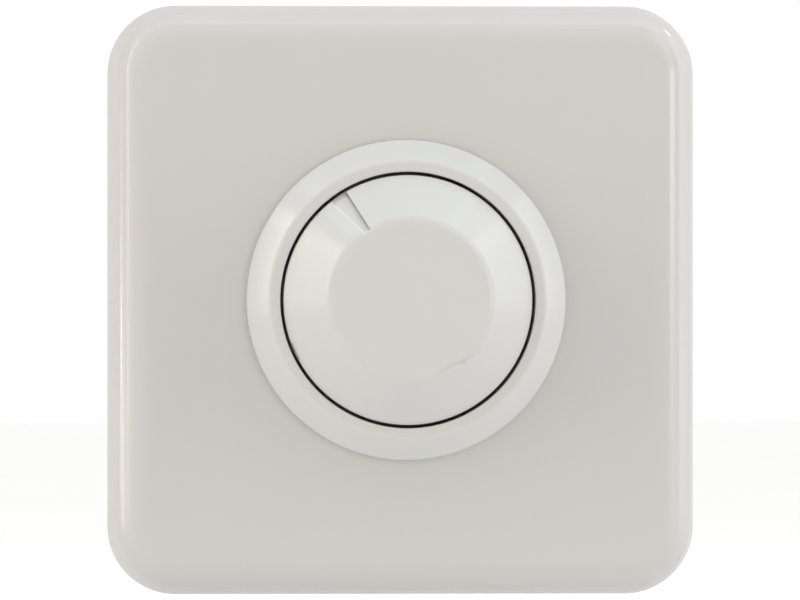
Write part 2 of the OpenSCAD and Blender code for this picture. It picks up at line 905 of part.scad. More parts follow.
module claw_screw() {
    out_of_wall() translate([claw_x, 0, 0]) difference() {
        union() {
            intersection() {
                translate([0, 0, claw_pivot]) sphere(claw_head_r);
                post(claw_head_r, claw_pivot - claw_head_r, claw_pivot + claw_head_top);
            }
            post(claw_screw_r, claw_screw_end, claw_pivot);
        }
        cross_recess(1.5 * claw_head_r, claw_pivot + claw_head_top);
    }
}

module left_claw() {
    color("#a4a6a0") mirror([1, 0, 0]) claw();
}

module right_claw() {
    color("#a4a6a0") claw();
}

module left_claw_screw() {
    color("#b5b7b8") mirror([1, 0, 0]) claw_screw();
}

module right_claw_screw() {
    color("#b5b7b8") claw_screw();
}

// Housing

// The housing's outline, drawn smaller all round by inset
module housing_section(inset) {
    difference() {
        intersection() {
            circle(housing_r - inset);
            square([2 * housing_r, 2 * (housing_flat - inset)], center = true);
        }
        for (side = [-1, 1]) translate([side * (pocket_x - inset + housing_r / 2), 0])
            square([housing_r, pocket_w + 2 * inset], center = true);
    }
}

module at_bosses() {
    for (side = [-1, 1], up = [-1, 1]) translate([side * boss_x, up * boss_y, 0]) children();
}

module at_terminals() {
    for (i = [0:terminal_count - 1])
        translate([(i - (terminal_count - 1) / 2) * terminal_pitch, terminal_y, 0]) children();
}

module housing() {
    wire_h = board_back - terminal_h / 2;
    color("#e8e4da") out_of_wall() difference() {
        intersection() {
            translate([0, 0, -housing_depth]) linear_extrude(housing_depth) housing_section(0);
            rotate_extrude() outline([
                [0, -housing_depth, 0],
                [housing_r - rear_chamfer, -housing_depth, 0],
                [housing_r + cut, rear_chamfer - housing_depth, 0],
                [housing_r + cut, 0, 0],
                [0, 0, 0]
            ]);
        }
        difference() {
            translate([0, 0, housing_floor]) linear_extrude(housing_depth) housing_section(housing_wall);
            at_bosses() post(boss_r, housing_floor - cut, housing_depth);
            for (turn = ledge_angles) rotate(turn)
                translate([housing_flat - ledge_r, 0, 0]) post(ledge_r, housing_floor - cut, board_back);
            for (i = [0:terminal_count])
                translate([(i - terminal_count / 2) * terminal_pitch, terminal_y, 0])
                    block(partition_t, terminal_d + 2 * seat_gap + cut, housing_floor, board_back - seat_gap);
        }
        at_bosses() post(frame_screw_r, -frame_screw_l - seat_gap, cut);
        for (side = [-1, 1], i = [1:vent_count]) translate([side * i * vent_pitch, housing_flat, 0])
            block(vent_w, 2 * (housing_wall + cut), vent_low, vent_high);
        translate([0, panel_y, -housing_depth - cut]) linear_extrude(panel_depth + cut) outline([
            [-panel_w / 2, -panel_h / 2, panel_round],
            [panel_w / 2, -panel_h / 2, panel_round],
            [panel_w / 2, panel_h / 2, panel_round],
            [-panel_w / 2, panel_h / 2, panel_round]
        ]);
        for (side = [-1, 1], up = [-1, 1]) translate([side * pin_mark_at.x, up * pin_mark_at.y, 0])
            post(pin_mark_r, -housing_depth - cut, pin_mark_depth - housing_depth);
        at_terminals() {
            post(driver_hole_r + funnel, -housing_depth - cut, funnel - housing_depth);
            translate([0, -terminal_d / 2 - seat_gap - housing_wall, wire_h])
                block(wire_w + 2 * funnel, 2 * funnel, -wire_w / 2 - funnel, wire_w / 2 + funnel);
            post(driver_hole_r, -housing_depth - cut, housing_floor + cut);
            translate([0, -terminal_d, wire_h - wire_w / 2])
                translate([-wire_w / 2, 0, 0]) cube([wire_w, terminal_d / 2, wire_w]);
        }
    }
}

module housing_screws() {
    color("#b5b7b8") out_of_wall() at_bosses() difference() {
        union() {
            post(frame_screw_r, -frame_screw_l, frame_t);
            post(frame_screw_head_r, frame_t, frame_t + frame_screw_head);
        }
        cross_recess(1.4 * frame_screw_head_r, frame_t + frame_screw_head);
    }
}

module circuit_board() {
    color("#3f7a4c") out_of_wall() difference() {
        translate([0, 0, board_back]) linear_extrude(board_t) housing_section(housing_wall + seat_gap);
        at_bosses() post(boss_r + seat_gap, board_back - cut, board_front + cut);
        post(board_hole_r, board_back - cut, board_front + cut);
        for (p = lead_places) translate([p.x, p.y, 0])
            post(p.z + slide_gap, board_back - cut, board_front + cut);
    }
}

// A cone of solder around each lead, on the board's front
module solder_joints() {
    color("#c3c5c6") out_of_wall() for (p = lead_places) translate([p.x, p.y, 0]) rotate_extrude() polygon([
        [p.z, board_front],
        [joint_r, board_front],
        [p.z + slide_gap, board_front + joint_h],
        [p.z, board_front + joint_h]
    ]);
}

// Push switch

module switch_body() {
    inner = switch_w - 2 * switch_wall;
    color("#2e3033") out_of_wall() difference() {
        block(switch_w, switch_w, switch_back, board_back);
        block(inner, inner, switch_back - cut, board_back - switch_wall);
        post(plunger_r + slide_gap, switch_back, board_back + cut);
    }
}

module switch_base() {
    color("#6b4a33") out_of_wall() {
        difference() {
            block(switch_w, switch_w, switch_back - switch_wall, switch_back);
            for (up = [-1, 1]) translate([0, up * contact_at, 0])
                post(contact_r, switch_back - switch_wall - cut, switch_back + cut);
        }
        post(spring_seat_r, switch_back - switch_wall / 2, switch_back + switch_wall);
    }
}

module switch_plunger() {
    color("#d9d5c8") out_of_wall() {
        post(plunger_r, plunger_flange_front - plunger_flange_t / 2, plunger_front);
        block(plunger_flange, plunger_flange, spring_front, plunger_flange_front);
    }
}

module switch_spring() {
    low = switch_back + spring_wire_r + slide_gap;
    high = spring_front - spring_wire_r - slide_gap;
    count = spring_turns * spring_steps;
    path = [
        for (i = [0:count])
            [spring_r * cos(360 * i / spring_steps), spring_r * sin(360 * i / spring_steps),
             low + (high - low) * i / count]
    ];
    normals = [for (i = [0:count]) [cos(360 * i / spring_steps), sin(360 * i / spring_steps), 0]];
    color("#b9bcbd") out_of_wall() sweep(path, normals, spring_wire_r, 6);
}

// Two straps around body and base, whose ends are soldered to the board
module switch_pins() {
    low = switch_back - switch_wall - strap_t;
    color("#c8c8c4") out_of_wall() for (up = [-1, 1]) translate([0, up * contact_at, 0]) {
        block(switch_w + 2 * strap_t, strap_w, low, low + strap_t);
        for (side = [-1, 1]) translate([side * (switch_w + strap_t) / 2, 0, 0])
            block(strap_t, strap_w, low, board_back);
    }
}

// The fixed contacts, which stand on the straps and reach through the base
module switch_contacts() {
    color("#c9a85a") out_of_wall() for (up = [-1, 1]) translate([0, up * contact_at, 0])
        post(contact_r, switch_back - switch_wall, contact_top);
}

// The plate under the plunger's flange that joins both contacts when the knob is pushed
module switch_bridge() {
    color("#c9a85a") out_of_wall() difference() {
        block(bridge_w, bridge_w, spring_front - bridge_t, spring_front);
        post(bridge_hole_r, spring_front - bridge_t - cut, spring_front + cut);
    }
}

// Choke

module choke_core() {
    color("#c9c0a0") out_of_wall(choke_at) translate([0, 0, choke_h]) rotate_extrude()
        translate([choke_r, 0]) circle(choke_core_r);
}

module choke_winding() {
    count = choke_turns * choke_steps - choke_steps / 2;
    path = [
        for (i = [0:count])
            let (
                around = 360 * i / (choke_turns * choke_steps),
                section = 360 * i / choke_steps,
                out = choke_r + choke_wind_r * cos(section)
            )
            [out * cos(around), out * sin(around), choke_wind_r * sin(section)]
    ];
    normals = [
        for (i = [0:count])
            let (around = 360 * i / (choke_turns * choke_steps), section = 360 * i / choke_steps)
            [cos(section) * cos(around), cos(section) * sin(around), sin(section)]
    ];
    color("#b4612e") out_of_wall(choke_at) translate([0, 0, choke_h]) sweep(path, normals, choke_wire_r, 6);
}

// Capacitors

module capacitor(size) {
    w = size.x / 2;
    d = size.y / 2;
    low = board_back - cap_foot - size.z;
    translate([0, 0, low]) linear_extrude(size.z) outline([
        [-w, -d, cap_round],
        [w, -d, cap_round],
        [w, d, cap_round],
        [-w, d, cap_round]
    ]);
    for (side = [-1, 1]) translate([side * (w - 2 * cap_round), 0, 0])
        post(cap_leg_r, board_back - 2 * cap_foot, board_front + joint_h + lead_out);
}

module film_capacitor() {
    color("#c9c44a") out_of_wall(film_at) capacitor(film_size);
}

module timing_capacitor() {
    color("#a8452f") out_of_wall(timing_at) capacitor(timing_size);
}

// Power switch on its insulating pad

module triac_body() {
    color("#26272a") out_of_wall([tab_left + tab_l + triac_l / 2, triac_y])
        block(triac_l, triac_w, -pad_t - triac_t, -pad_t - tab_t);
}

module triac_tab() {
    leg_h = -pad_t - tab_t - triac_t / 2 + tab_t / 2;
    body_right = tab_left + tab_l + triac_l;
    color("#b9bbbc") out_of_wall([0, triac_y]) {
        difference() {
            translate([tab_left + (tab_l + triac_l) / 2, 0, 0])
                block(tab_l + triac_l, triac_w, -pad_t - tab_t, -pad_t);
            translate([tab_left + tab_l / 2, 0, 0]) post(triac_hole_r, -pad_t - tab_t - cut, cut);
        }
        for (i = [-1:1]) translate([body_right, i * triac_leg_pitch, 0]) along_up(triac_leg_w) polygon([
            [0, leg_h],
            [triac_leg_reach, leg_h],
            [triac_leg_reach, board_front],
            [triac_leg_reach - triac_leg_t, board_front],
            [triac_leg_reach - triac_leg_t, leg_h - triac_leg_t],
            [0, leg_h - triac_leg_t]
        ]);
    }
}

module insulating_pad() {
    color("#8e9aa3") out_of_wall([tab_left + (tab_l + triac_l) / 2, triac_y]) difference() {
        block(tab_l + triac_l + pad_over, triac_w + pad_over, -pad_t, 0);
        translate([-triac_l / 2, 0, 0]) post(triac_hole_r, -pad_t - cut, cut);
    }
}

module triac_rivet() {
    color("#c2c3c4") out_of_wall([tab_left + tab_l / 2, triac_y]) {
        post(rivet_r, -pad_t - tab_t, frame_t);
        post(rivet_head_r, frame_t, frame_t + rivet_head);
        post(rivet_head_r, -pad_t - tab_t - rivet_head, -pad_t - tab_t);
    }
}

// A lying body with a lead at each end, bent to the board
module axial_part(r, l, lead_r) {
    low = board_back - r - slide_gap;
    end = l / 2 + 3 * lead_r;
    translate([-l / 2, 0, low]) rotate([0, 90, 0]) cylinder(r = r, h = l);
    for (side = [-1, 1]) {
        translate([side * l / 2, 0, low]) rotate([0, side * 90, 0]) cylinder(r = lead_r, h = 3 * lead_r);
        translate([side * end, 0, low]) sphere(lead_r);
        translate([side * end, 0, 0]) post(lead_r, low, board_front + joint_h + lead_out);
    }
}

module diac() {
    color("#3a5fa0") out_of_wall(diac_at) axial_part(diac_r, diac_l, resistor_lead_r);
}

module resistors() {
    color("#cdb48a") for (i = [0:resistor_count - 1])
        out_of_wall(resistor_at - [0, i * resistor_pitch])
            axial_part(resistor_r, resistor_l, resistor_lead_r);
}

// Fuse

module fuse_tube() {
    color("#dfe6e6") out_of_wall([0, fuse_y]) translate([0, 0, fuse_h]) rotate([0, 90, 0])
        tube(fuse_r, fuse_r - fuse_glass_t, -fuse_l / 2 + fuse_glass_t, fuse_l / 2 - fuse_glass_t);
}

module fuse_caps() {
    color("#c6c8c9") out_of_wall([0, fuse_y]) translate([0, 0, fuse_h])
        for (side = [-1, 1]) rotate([0, side * 90, 0]) difference() {
            post(cap_r, fuse_l / 2 - fuse_cap_l, fuse_l / 2);
            post(fuse_r, fuse_l / 2 - fuse_cap_l - cut, fuse_l / 2 - fuse_glass_t);
        }
}

module fuse_wire() {
    reach = fuse_l / 2 - fuse_glass_t;
    color("#8f8f8f") out_of_wall([0, fuse_y]) translate([0, 0, fuse_h]) rotate([0, 90, 0])
        post(fuse_wire_r, -reach, reach);
}

// Two spring clips that hold the fuse's caps, open towards the room
module fuse_clips() {
    outer_r = cap_r + clip_sheet;
    color("#c9b375") out_of_wall([0, fuse_y]) for (side = [-1, 1])
        translate([side * (fuse_l - fuse_cap_l) / 2 - clip_w / 2, 0, fuse_h]) rotate([90, 0, 90])
            linear_extrude(clip_w) difference() {
                circle(outer_r);
                circle(cap_r);
                polygon([
                    [0, 0],
                    2 * outer_r * [cos(90 - clip_mouth_angle / 2), sin(90 - clip_mouth_angle / 2)],
                    [0, 4 * outer_r],
                    2 * outer_r * [-cos(90 - clip_mouth_angle / 2), sin(90 - clip_mouth_angle / 2)]
                ]);
            }
}

// Brightness adjuster

module trimmer_base() {
    top = board_front + trimmer_t;
    color("#2f4fa0") out_of_wall(trimmer_at) difference() {
        block(trimmer_w, trimmer_w, board_front, top);
        post(trimmer_r + slide_gap, top - trimmer_sink, top + cut);
    }
}

module trimmer_rotor() {
    top = board_front + trimmer_t;
    low = top - trimmer_sink + slide_gap;
    color("#e7e3d6") out_of_wall(trimmer_at) difference() {
        post(trimmer_r, low, top + trimmer_rise);
        block(1.6 * trimmer_r, drive_w, top + trimmer_rise - drive_depth, top + trimmer_rise + cut);
    }
}

// Wire terminals

module terminal_clamps() {
    wire_h = board_back - terminal_h / 2;
    color("#c8a85c") out_of_wall() at_terminals() difference() {
        block(terminal_w, terminal_d, terminal_low, board_back);
        block(wire_w, terminal_d + 2 * cut, wire_h - wire_w / 2, wire_h + wire_w / 2);
        post(terminal_screw_r, terminal_low - cut, terminal_low + terminal_wall + cut);
    }
}

module terminal_screws() {
    head = terminal_head_low + terminal_head;
    color("#b5b7b8") out_of_wall() at_terminals() difference() {
        union() {
            post(terminal_screw_r, head, terminal_low + terminal_wall);
            post(terminal_head_r, terminal_head_low, head);
        }
        block(3 * terminal_head_r, drive_w, terminal_head_low - cut, terminal_head_low + drive_depth);
    }
}

cover_plate();
trim_ring();
knob();
knob_clamp_ring();
retaining_nut();
lock_washer();
bush_nut();
support_frame();
left_claw();
right_claw();
left_claw_screw();
right_claw_screw();
housing();
housing_screws();
circuit_board();
solder_joints();
pot_bush();
pot_case();
pot_rotor();
pot_wiper();
pot_wafer();
pot_track();
pot_terminals();
pot_shaft();
shaft_clip();
switch_body();
switch_base();
switch_plunger();
switch_spring();
switch_pins();
switch_contacts();
switch_bridge();
choke_core();
choke_winding();
film_capacitor();
timing_capacitor();
triac_body();
triac_tab();
insulating_pad();
triac_rivet();
diac();
resistors();
fuse_tube();
fuse_caps();
fuse_wire();
fuse_clips();
trimmer_base();
trimmer_rotor();
terminal_clamps();
terminal_screws();
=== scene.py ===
"""Dresses the rotary dimmer: smooth moulded surfaces, threads, windings, finishes, floor, lamps and camera.

Everything is in metres in the packed frame: x to the right, z up the wall, and -y out of the wall.
A piece's profile is given as (distance from the axis, height out of the wall) in metres.
"""

import math

import bmesh
import bpy
import numpy as np
from mathutils import Matrix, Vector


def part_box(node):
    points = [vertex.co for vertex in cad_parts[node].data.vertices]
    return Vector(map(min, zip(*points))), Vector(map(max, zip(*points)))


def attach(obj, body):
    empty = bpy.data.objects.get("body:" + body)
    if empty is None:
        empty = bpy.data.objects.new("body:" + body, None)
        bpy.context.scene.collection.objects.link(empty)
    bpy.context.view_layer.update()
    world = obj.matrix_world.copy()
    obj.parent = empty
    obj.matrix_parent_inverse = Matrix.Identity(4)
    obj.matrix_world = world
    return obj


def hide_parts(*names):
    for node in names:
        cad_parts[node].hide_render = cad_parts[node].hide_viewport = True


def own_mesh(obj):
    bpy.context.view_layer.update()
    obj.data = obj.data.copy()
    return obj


bl_info = {
    "name": "Rotary dimmer dressing",
    "version": (1, 0, 0),
    "blender": (4, 5, 0),
    "location": "3D View > Sidebar > Dimmer",
    "description": "Builds the smooth pieces, finishes and stage of a flush-mounted rotary dimmer",
    "category": "Object",
}

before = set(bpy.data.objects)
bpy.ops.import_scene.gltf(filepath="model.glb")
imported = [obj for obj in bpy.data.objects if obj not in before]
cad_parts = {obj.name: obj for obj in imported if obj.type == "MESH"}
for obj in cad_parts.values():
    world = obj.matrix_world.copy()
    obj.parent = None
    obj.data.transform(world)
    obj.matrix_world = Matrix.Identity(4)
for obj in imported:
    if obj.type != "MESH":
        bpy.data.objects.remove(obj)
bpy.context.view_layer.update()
MM = 0.001


def box_of(node):
    """Lowest and highest corner of a CAD node, as arrays."""
    low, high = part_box(node)
    return np.array(low), np.array(high)


def front_of(node):
    """Height of a node's front above the wall plane."""
    return -box_of(node)[0][1]


def back_of(node):
    """Height of a node's back above the wall plane, below zero when it lies in the wall."""
    return -box_of(node)[1][1]


def radius_of(node):
    """Half of a round node's width."""
    low, high = box_of(node)
    return (high[0] - low[0]) / 2


# Sizes and colours that a user would change


def length(name, description, default):
    """A size in metres with a name and a description."""
    return bpy.props.FloatProperty(
        name=name, description=description, default=default, min=0, unit="LENGTH", subtype="DISTANCE"
    )


def colour(name, description, default):
    """A linear colour with a name and a description."""
    return bpy.props.FloatVectorProperty(
        name=name, description=description, default=default, size=3, min=0, max=1, subtype="COLOR"
    )


def angle(name, description, default):
    """An angle in degrees, kept in radians."""
    return bpy.props.FloatProperty(
        name=name, description=description, default=math.radians(default), unit="ROTATION", subtype="ANGLE"
    )


def amount(name, description, default):
    """A plain number from zero upwards."""
    return bpy.props.FloatProperty(name=name, description=description, default=default, min=0)


class PlateSizes(bpy.types.PropertyGroup):
    """The cover plate."""

    width: length("Width", "Width and height of the plate", 2 * radius_of("cover_plate"))
    height: length("Height", "How far the face stands out from the wall", front_of("cover_plate"))
    corner: length("Corner", "Radius of the corners, seen from the front", 10 * MM)
    round_r: length("Edge", "Roundness of the edge between side and face", 5 * MM)
    draft: length("Draft", "How far the side leans in", 0.9 * MM)
    wall: length("Wall", "Thickness of the side wall", 2 * MM)
    skin: length("Skin", "Thickness of the face", 2 * MM)
    hole_r: length("Hole", "Radius of the hole", 20.07 * MM)
    collar: length("Collar", "Thickness of the collar behind the hole", 1 * MM)
    rib_low: length("Rib", "Height at which collar and ribs end", 3.5 * MM)
    rib_t: length("Rib thickness", "Thickness of the ribs", 1.2 * MM)


class RingSizes(bpy.types.PropertyGroup):
    """The trim ring."""

    foot_r: length("Foot", "Outer radius", radius_of("trim_ring"))
    crest_r: length("Crest radius", "Radius of the crest", 20.2 * MM)
    crest_h: length("Crest height", "Height of the crest before it is rounded", 12.5 * MM)
    bore_r: length("Bore", "Radius of the bore", 18.67 * MM)
    edge: length("Edge", "Height of the upright edge at the foot", 0.8 * MM)
    bevel: length("Bevel", "Drop from the crest to the bore", 0.15 * MM)
    cup_r: length("Cup", "Outer radius of the cup", 19.87 * MM)
    floor_r: length("Floor hole", "Radius of the hole in the floor", 5.15 * MM)
    floor_t: length("Floor", "Thickness of the cup's floor", 1.5 * MM)


class KnobSizes(bpy.types.PropertyGroup):
    """The knob."""

    rim_r: length("Rim", "Radius of the rim", radius_of("knob"))
    flat_r: length("Flat", "Radius of the flat front", 11.85 * MM)
    top: length("Top", "Height of the flat front", front_of("knob"))
    rim_h: length("Rim height", "Height of the rim", 12.1 * MM)
    skirt: length("Skirt", "Height at which the skirt ends", 9.6 * MM)
    wall: length("Wall", "Thickness of the knob's wall", 1.5 * MM)
    flat_round: length("Soft edge", "Roundness of the edge around the flat", 2.2 * MM)
    crown: length("Crown", "How far the middle of the flat stands above its edge", 0.08 * MM)
    pointer: angle("Pointer", "Angle of the pointer from straight up, turning left", 34)
    pointer_w: length("Pointer width", "Width of the pointer pocket at the rim", 2.75 * MM)
    pointer_tip: length("Pointer tip", "Width of the pocket at its inner end", 1.35 * MM)
    pointer_depth: length("Pointer depth", "Depth of the pocket", 0.4 * MM)
    nick: angle("Nick", "Direction of the worn nick in the rim", 204.5)


class Finishes(bpy.types.PropertyGroup):
    """Main colours."""

    plate: colour("Plate", "Colour of the cover plate", (0.610, 0.578, 0.540))
    ring: colour("Ring", "Colour of the trim ring", (0.640, 0.620, 0.575))
    knob: colour("Knob", "Colour of the knob", (0.630, 0.610, 0.566))
    housing: colour("Housing", "Colour of the moulded housing", (0.700, 0.655, 0.570))
    gloss: amount("Gloss roughness", "Roughness of the moulded front", 0.13)


class StageSettings(bpy.types.PropertyGroup):
    """Floor, lamps and camera."""

    distance: length("Distance", "Camera's distance from the plate", 2.4)
    yaw: angle("Yaw", "How far the camera stands to the left", 5.4)
    lens: amount("Lens", "Focal length in millimetres on a 36 mm sensor", 738.2)
    aside: length("Aside", "How far the camera stands to the left of its aim at the plate's middle", 0.03 * MM)
    floor_gap: length("Floor gap", "Gap between the plate's lower edge and the floor", 20 * MM)
    ambient: amount("Ambient", "Strength of the light from all around", 0.576)
    lamps: amount("Lamps", "Strength of all lamps together", 1.0)
    lift: amount("Floor lift", "How much the floor is lifted towards white where a camera sees it", 0.42)


GROUPS = {
    "dimmer_plate": PlateSizes,
    "dimmer_ring": RingSizes,
    "dimmer_knob": KnobSizes,
    "dimmer_finishes": Finishes,
    "dimmer_stage": StageSettings,
}


# Shapes


def out_of_wall(right, up, height):
    """Points of the frame from distances to the right, up the wall and out of it."""
    return np.stack(np.broadcast_arrays(right, -np.asarray(height), up), axis=-1)


def rounded(corners, steps=10):
    """A line through corners (a, b, radius), where each corner is replaced by an arc that touches both its sides."""
    flat = np.array([c[:2] for c in corners], float)
    line = []
    for i, (a, b, r) in enumerate(corners):
        if r == 0 or i in (0, len(corners) - 1):
            line.append(flat[i : i + 1])
            continue
        u, v = flat[i - 1] - flat[i], flat[i + 1] - flat[i]
        u, v = u / np.linalg.norm(u), v / np.linalg.norm(v)
        half = math.acos(np.clip(u @ v, -1, 1)) / 2
        middle = (u + v) / np.linalg.norm(u + v)
        centre = flat[i] + middle * r / math.sin(half)
        reach = math.pi / 2 - half
        turn = np.linspace(-reach, reach, steps + 1)
        side = v - (v @ middle) * middle
        side = side / np.linalg.norm(side)
        line.append(centre - r * np.cos(turn)[:, None] * middle + r * np.sin(turn)[:, None] * side)
    return np.concatenate(line)


def filled(line, step):
    """The same line with points added, so that none are further apart than step."""
    pieces = []
    for a, b in zip(line[:-1], line[1:]):
        count = max(1, math.ceil(np.linalg.norm(b - a) / step))
        pieces.append(a + (b - a) * (np.arange(count) / count)[:, None])
    return np.concatenate([*pieces, line[-1:]])


def revolved(profile, turns=192, centre=(0, 0)):
    """A profile (radius, height) carried once around the axis: right = r cos t, up = r sin t."""
    t = np.arange(turns) * 2 * math.pi / turns
    r, h = profile[:, 0], profile[:, 1]
    return out_of_wall(
        centre[0] + r[None, :] * np.cos(t)[:, None],
        centre[1] + r[None, :] * np.sin(t)[:, None],
        np.broadcast_to(h, (turns, len(h))),
    )


def tube_along(path, side, r, sides=12):
    """A round tube: each path point plus r (cos t side + sin t up), where up is square to side and the path."""
    along = np.gradient(path, axis=0)
    along /= np.linalg.norm(along, axis=1, keepdims=True)
    side = side - np.sum(side * along, axis=1, keepdims=True) * along
    side /= np.linalg.norm(side, axis=1, keepdims=True)
    up = np.cross(along, side)
    t = np.arange(sides) * 2 * math.pi / sides
    wall = path[None] + r * (np.cos(t)[:, None, None] * side[None] + np.sin(t)[:, None, None] * up[None])
    first, last = np.broadcast_to(path[0], (sides, 1, 3)), np.broadcast_to(path[-1], (sides, 1, 3))
    return np.concatenate([first, wall, last], axis=1)


def screw(outside, thread, recess, centre, turns=72):
    """A screw, from the point of its shank round its head and down into a cross recess.

    Outside is the profile (radius, height). Thread is (radius, pitch, depth, low, high): between the two heights, the
    shank's radius swings by a triangle wave of the depth, with phase height / pitch - turn, so that its ridges run
    round the shank. Recess is (half length, half width, depth): a cross, whose edge lies at the distance
    max(min(l / |cos t|, w / |sin t|), min(l / |sin t|, w / |cos t|)) in direction t.
    """
    half_l, half_w, deep = recess
    corners = math.atan2(half_w, half_l) + np.arange(2)[:, None] * (math.pi / 2 - 2 * math.atan2(half_w, half_l))
    corners = np.concatenate([corners.ravel(), [math.pi / 4]])
    corners = (corners[:, None] + np.arange(4) * math.pi / 2).ravel()
    t = np.unique(np.round(np.concatenate([np.arange(turns) * 2 * math.pi / turns, corners]), 6))
    c, s = np.maximum(np.abs(np.cos(t)), 1e-6), np.maximum(np.abs(np.sin(t)), 1e-6)
    star = np.maximum(np.minimum(half_l / c, half_w / s), np.minimum(half_l / s, half_w / c))

    thread_r, pitch, depth, low, high = thread
    r, h = outside[None, :, 0], outside[None, :, 1]
    wave = 1 - np.clip(1.35 * np.abs(2 * ((h / pitch - t[:, None] / (2 * math.pi)) % 1) - 1) - 0.12, 0, 1)
    inside = np.clip((h - low) / pitch, 0, 1) * np.clip((high - h) / pitch, 0, 1)
    wall = r - depth * wave * inside * (np.abs(r - thread_r) < 1e-7)

    top = outside[-1, 1]
    edge = np.stack([star + 0.06 * MM, star, 0.88 * star, 0 * star], 1)
    floor = np.array([top, top - 0.06 * MM, top - deep, top - deep - 0.25 * half_w])
    radii = np.concatenate([wall, edge], 1)
    heights = np.concatenate([h + 0 * wall, floor[None, :] + 0 * edge], 1)
    return out_of_wall(centre[0] + radii * np.cos(t)[:, None], centre[1] + radii * np.sin(t)[:, None], heights)


def threaded(profile, crest_r, pitch, depth, low, high, turns=72):
    """A revolved profile whose radius swings by a triangle wave of depth between heights low and high.

    The wave's phase is height / pitch - turn, so its ridges run round as a screw thread.
    """
    t = np.arange(turns)[:, None] / turns
    r, h = profile[None, :, 0], profile[None, :, 1]
    wave = 1 - np.clip(1.35 * np.abs(2 * ((h / pitch - t) % 1) - 1) - 0.12, 0, 1)
    inside = np.clip((h - low) / pitch, 0, 1) * np.clip((high - h) / pitch, 0, 1)
    new_r = r - depth * wave * inside * (np.abs(r - crest_r) < 1e-7)
    turn = t * 2 * math.pi
    return out_of_wall(new_r * np.cos(turn), new_r * np.sin(turn), h + 0 * new_r)


def rounded_square(half, corner, per_corner=16, per_side=12):
    """The inner square's points, the outward directions and the turn of each line of a plate.

    A profile distance d then lies at inner + d * outward: straight sides, and arcs around the corner centres.
    """
    inner, outward = [], []
    middle = half - corner
    for k in range(4):
        turn = k * math.pi / 2
        c, s = math.cos(turn), math.sin(turn)
        rotate = np.array([[c, -s], [s, c]])
        along = np.linspace(-middle, middle, per_side, endpoint=False)
        inner.append(np.stack([np.full(per_side, middle), along], 1) @ rotate.T)
        outward.append(np.tile([1.0, 0.0], (per_side, 1)) @ rotate.T)
        arc = np.linspace(0, math.pi / 2, per_corner, endpoint=False)
        inner.append(np.tile([middle, middle], (per_corner, 1)) @ rotate.T)
        outward.append(np.stack([np.cos(arc), np.sin(arc)], 1) @ rotate.T)
    return np.concatenate(inner), np.concatenate(outward)


def smoothstep(x):
    """A rise from 0 to 1 over x from 0 to 1, level at both ends."""
    x = np.clip(x, 0, 1)
    return x * x * (3 - 2 * x)


def rounded_bar(start, end, width, thick, up, soft):
    """A straight bar with soft long edges: a rounded rectangle carried from start to end and closed at both."""
    section = rounded(
        [
            (-width / 2, 0, 0),
            (-width / 2, thick / 2, soft),
            (width / 2, thick / 2, soft),
            (width / 2, -thick / 2, soft),
            (-width / 2, -thick / 2, soft),
            (-width / 2, -soft / 9, 0),
        ],
        4,
    )
    start, end, up = (np.array(v, float) for v in (start, end, up))
    along = (end - start) / np.linalg.norm(end - start)
    side = np.cross(along, up)
    ring = section[:, :1] * side + section[:, 1:] * up
    middle = ring.mean(0)
    stations = [start + middle, start + ring, end + ring, end + middle]
    return np.stack([np.broadcast_to(s, ring.shape) for s in stations], axis=1)


def volume_of(mesh):
    """Signed volume inside a closed mesh, above zero when its faces point out."""
    mesh.calc_loop_triangles()
    co = np.empty(len(mesh.vertices) * 3)
    mesh.vertices.foreach_get("co", co)
    index = np.empty(len(mesh.loop_triangles) * 3, np.int32)
    mesh.loop_triangles.foreach_get("vertices", index)
    a, b, c = co.reshape(-1, 3)[index.reshape(-1, 3)].transpose(1, 0, 2)
    return np.sum(a * np.cross(b, c)) / 6


def mesh_of(name, grids, sharp=32):
    """One mesh from grids of points: the first index of each closes on itself, and the second runs from end to end.

    Poles and seams are merged, and each shell is turned so that its faces point out.
    """
    joined = bpy.data.meshes.new(name)
    whole = bmesh.new()
    for grid in grids:
        rows, columns = grid.shape[:2]
        index = np.arange(rows * columns).reshape(rows, columns)
        following = np.roll(index, -1, axis=0)
        quads = np.stack([index[:, :-1], following[:, :-1], following[:, 1:], index[:, 1:]], axis=-1)
        part = bpy.data.meshes.new(name + "_part")
        part.from_pydata(grid.reshape(-1, 3).tolist(), [], quads.reshape(-1, 4).tolist())
        shell = bmesh.new()
        shell.from_mesh(part)
        bmesh.ops.remove_doubles(shell, verts=shell.verts, dist=1e-7)
        bmesh.ops.dissolve_degenerate(shell, edges=shell.edges, dist=1e-8)
        shell.to_mesh(part)
        shell.free()
        if volume_of(part) < 0:
            part.flip_normals()
        whole.from_mesh(part)
        bpy.data.meshes.remove(part)
    whole.to_mesh(joined)
    whole.free()
    joined.shade_smooth()
    joined.set_sharp_from_angle(angle=math.radians(sharp))
    return joined


def piece(name, grids, body, material, replaced=(), sharp=32):
    """A new piece at the origin with its place in its mesh, which rides on a body and may stand for CAD nodes."""
    mesh = mesh_of(name, grids, sharp)
    mesh.materials.append(material)
    new = bpy.data.objects.new(name, mesh)
    bpy.context.scene.collection.objects.link(new)
    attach(new, body)
    if replaced:
        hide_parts(*replaced)
    return new


# Finishes


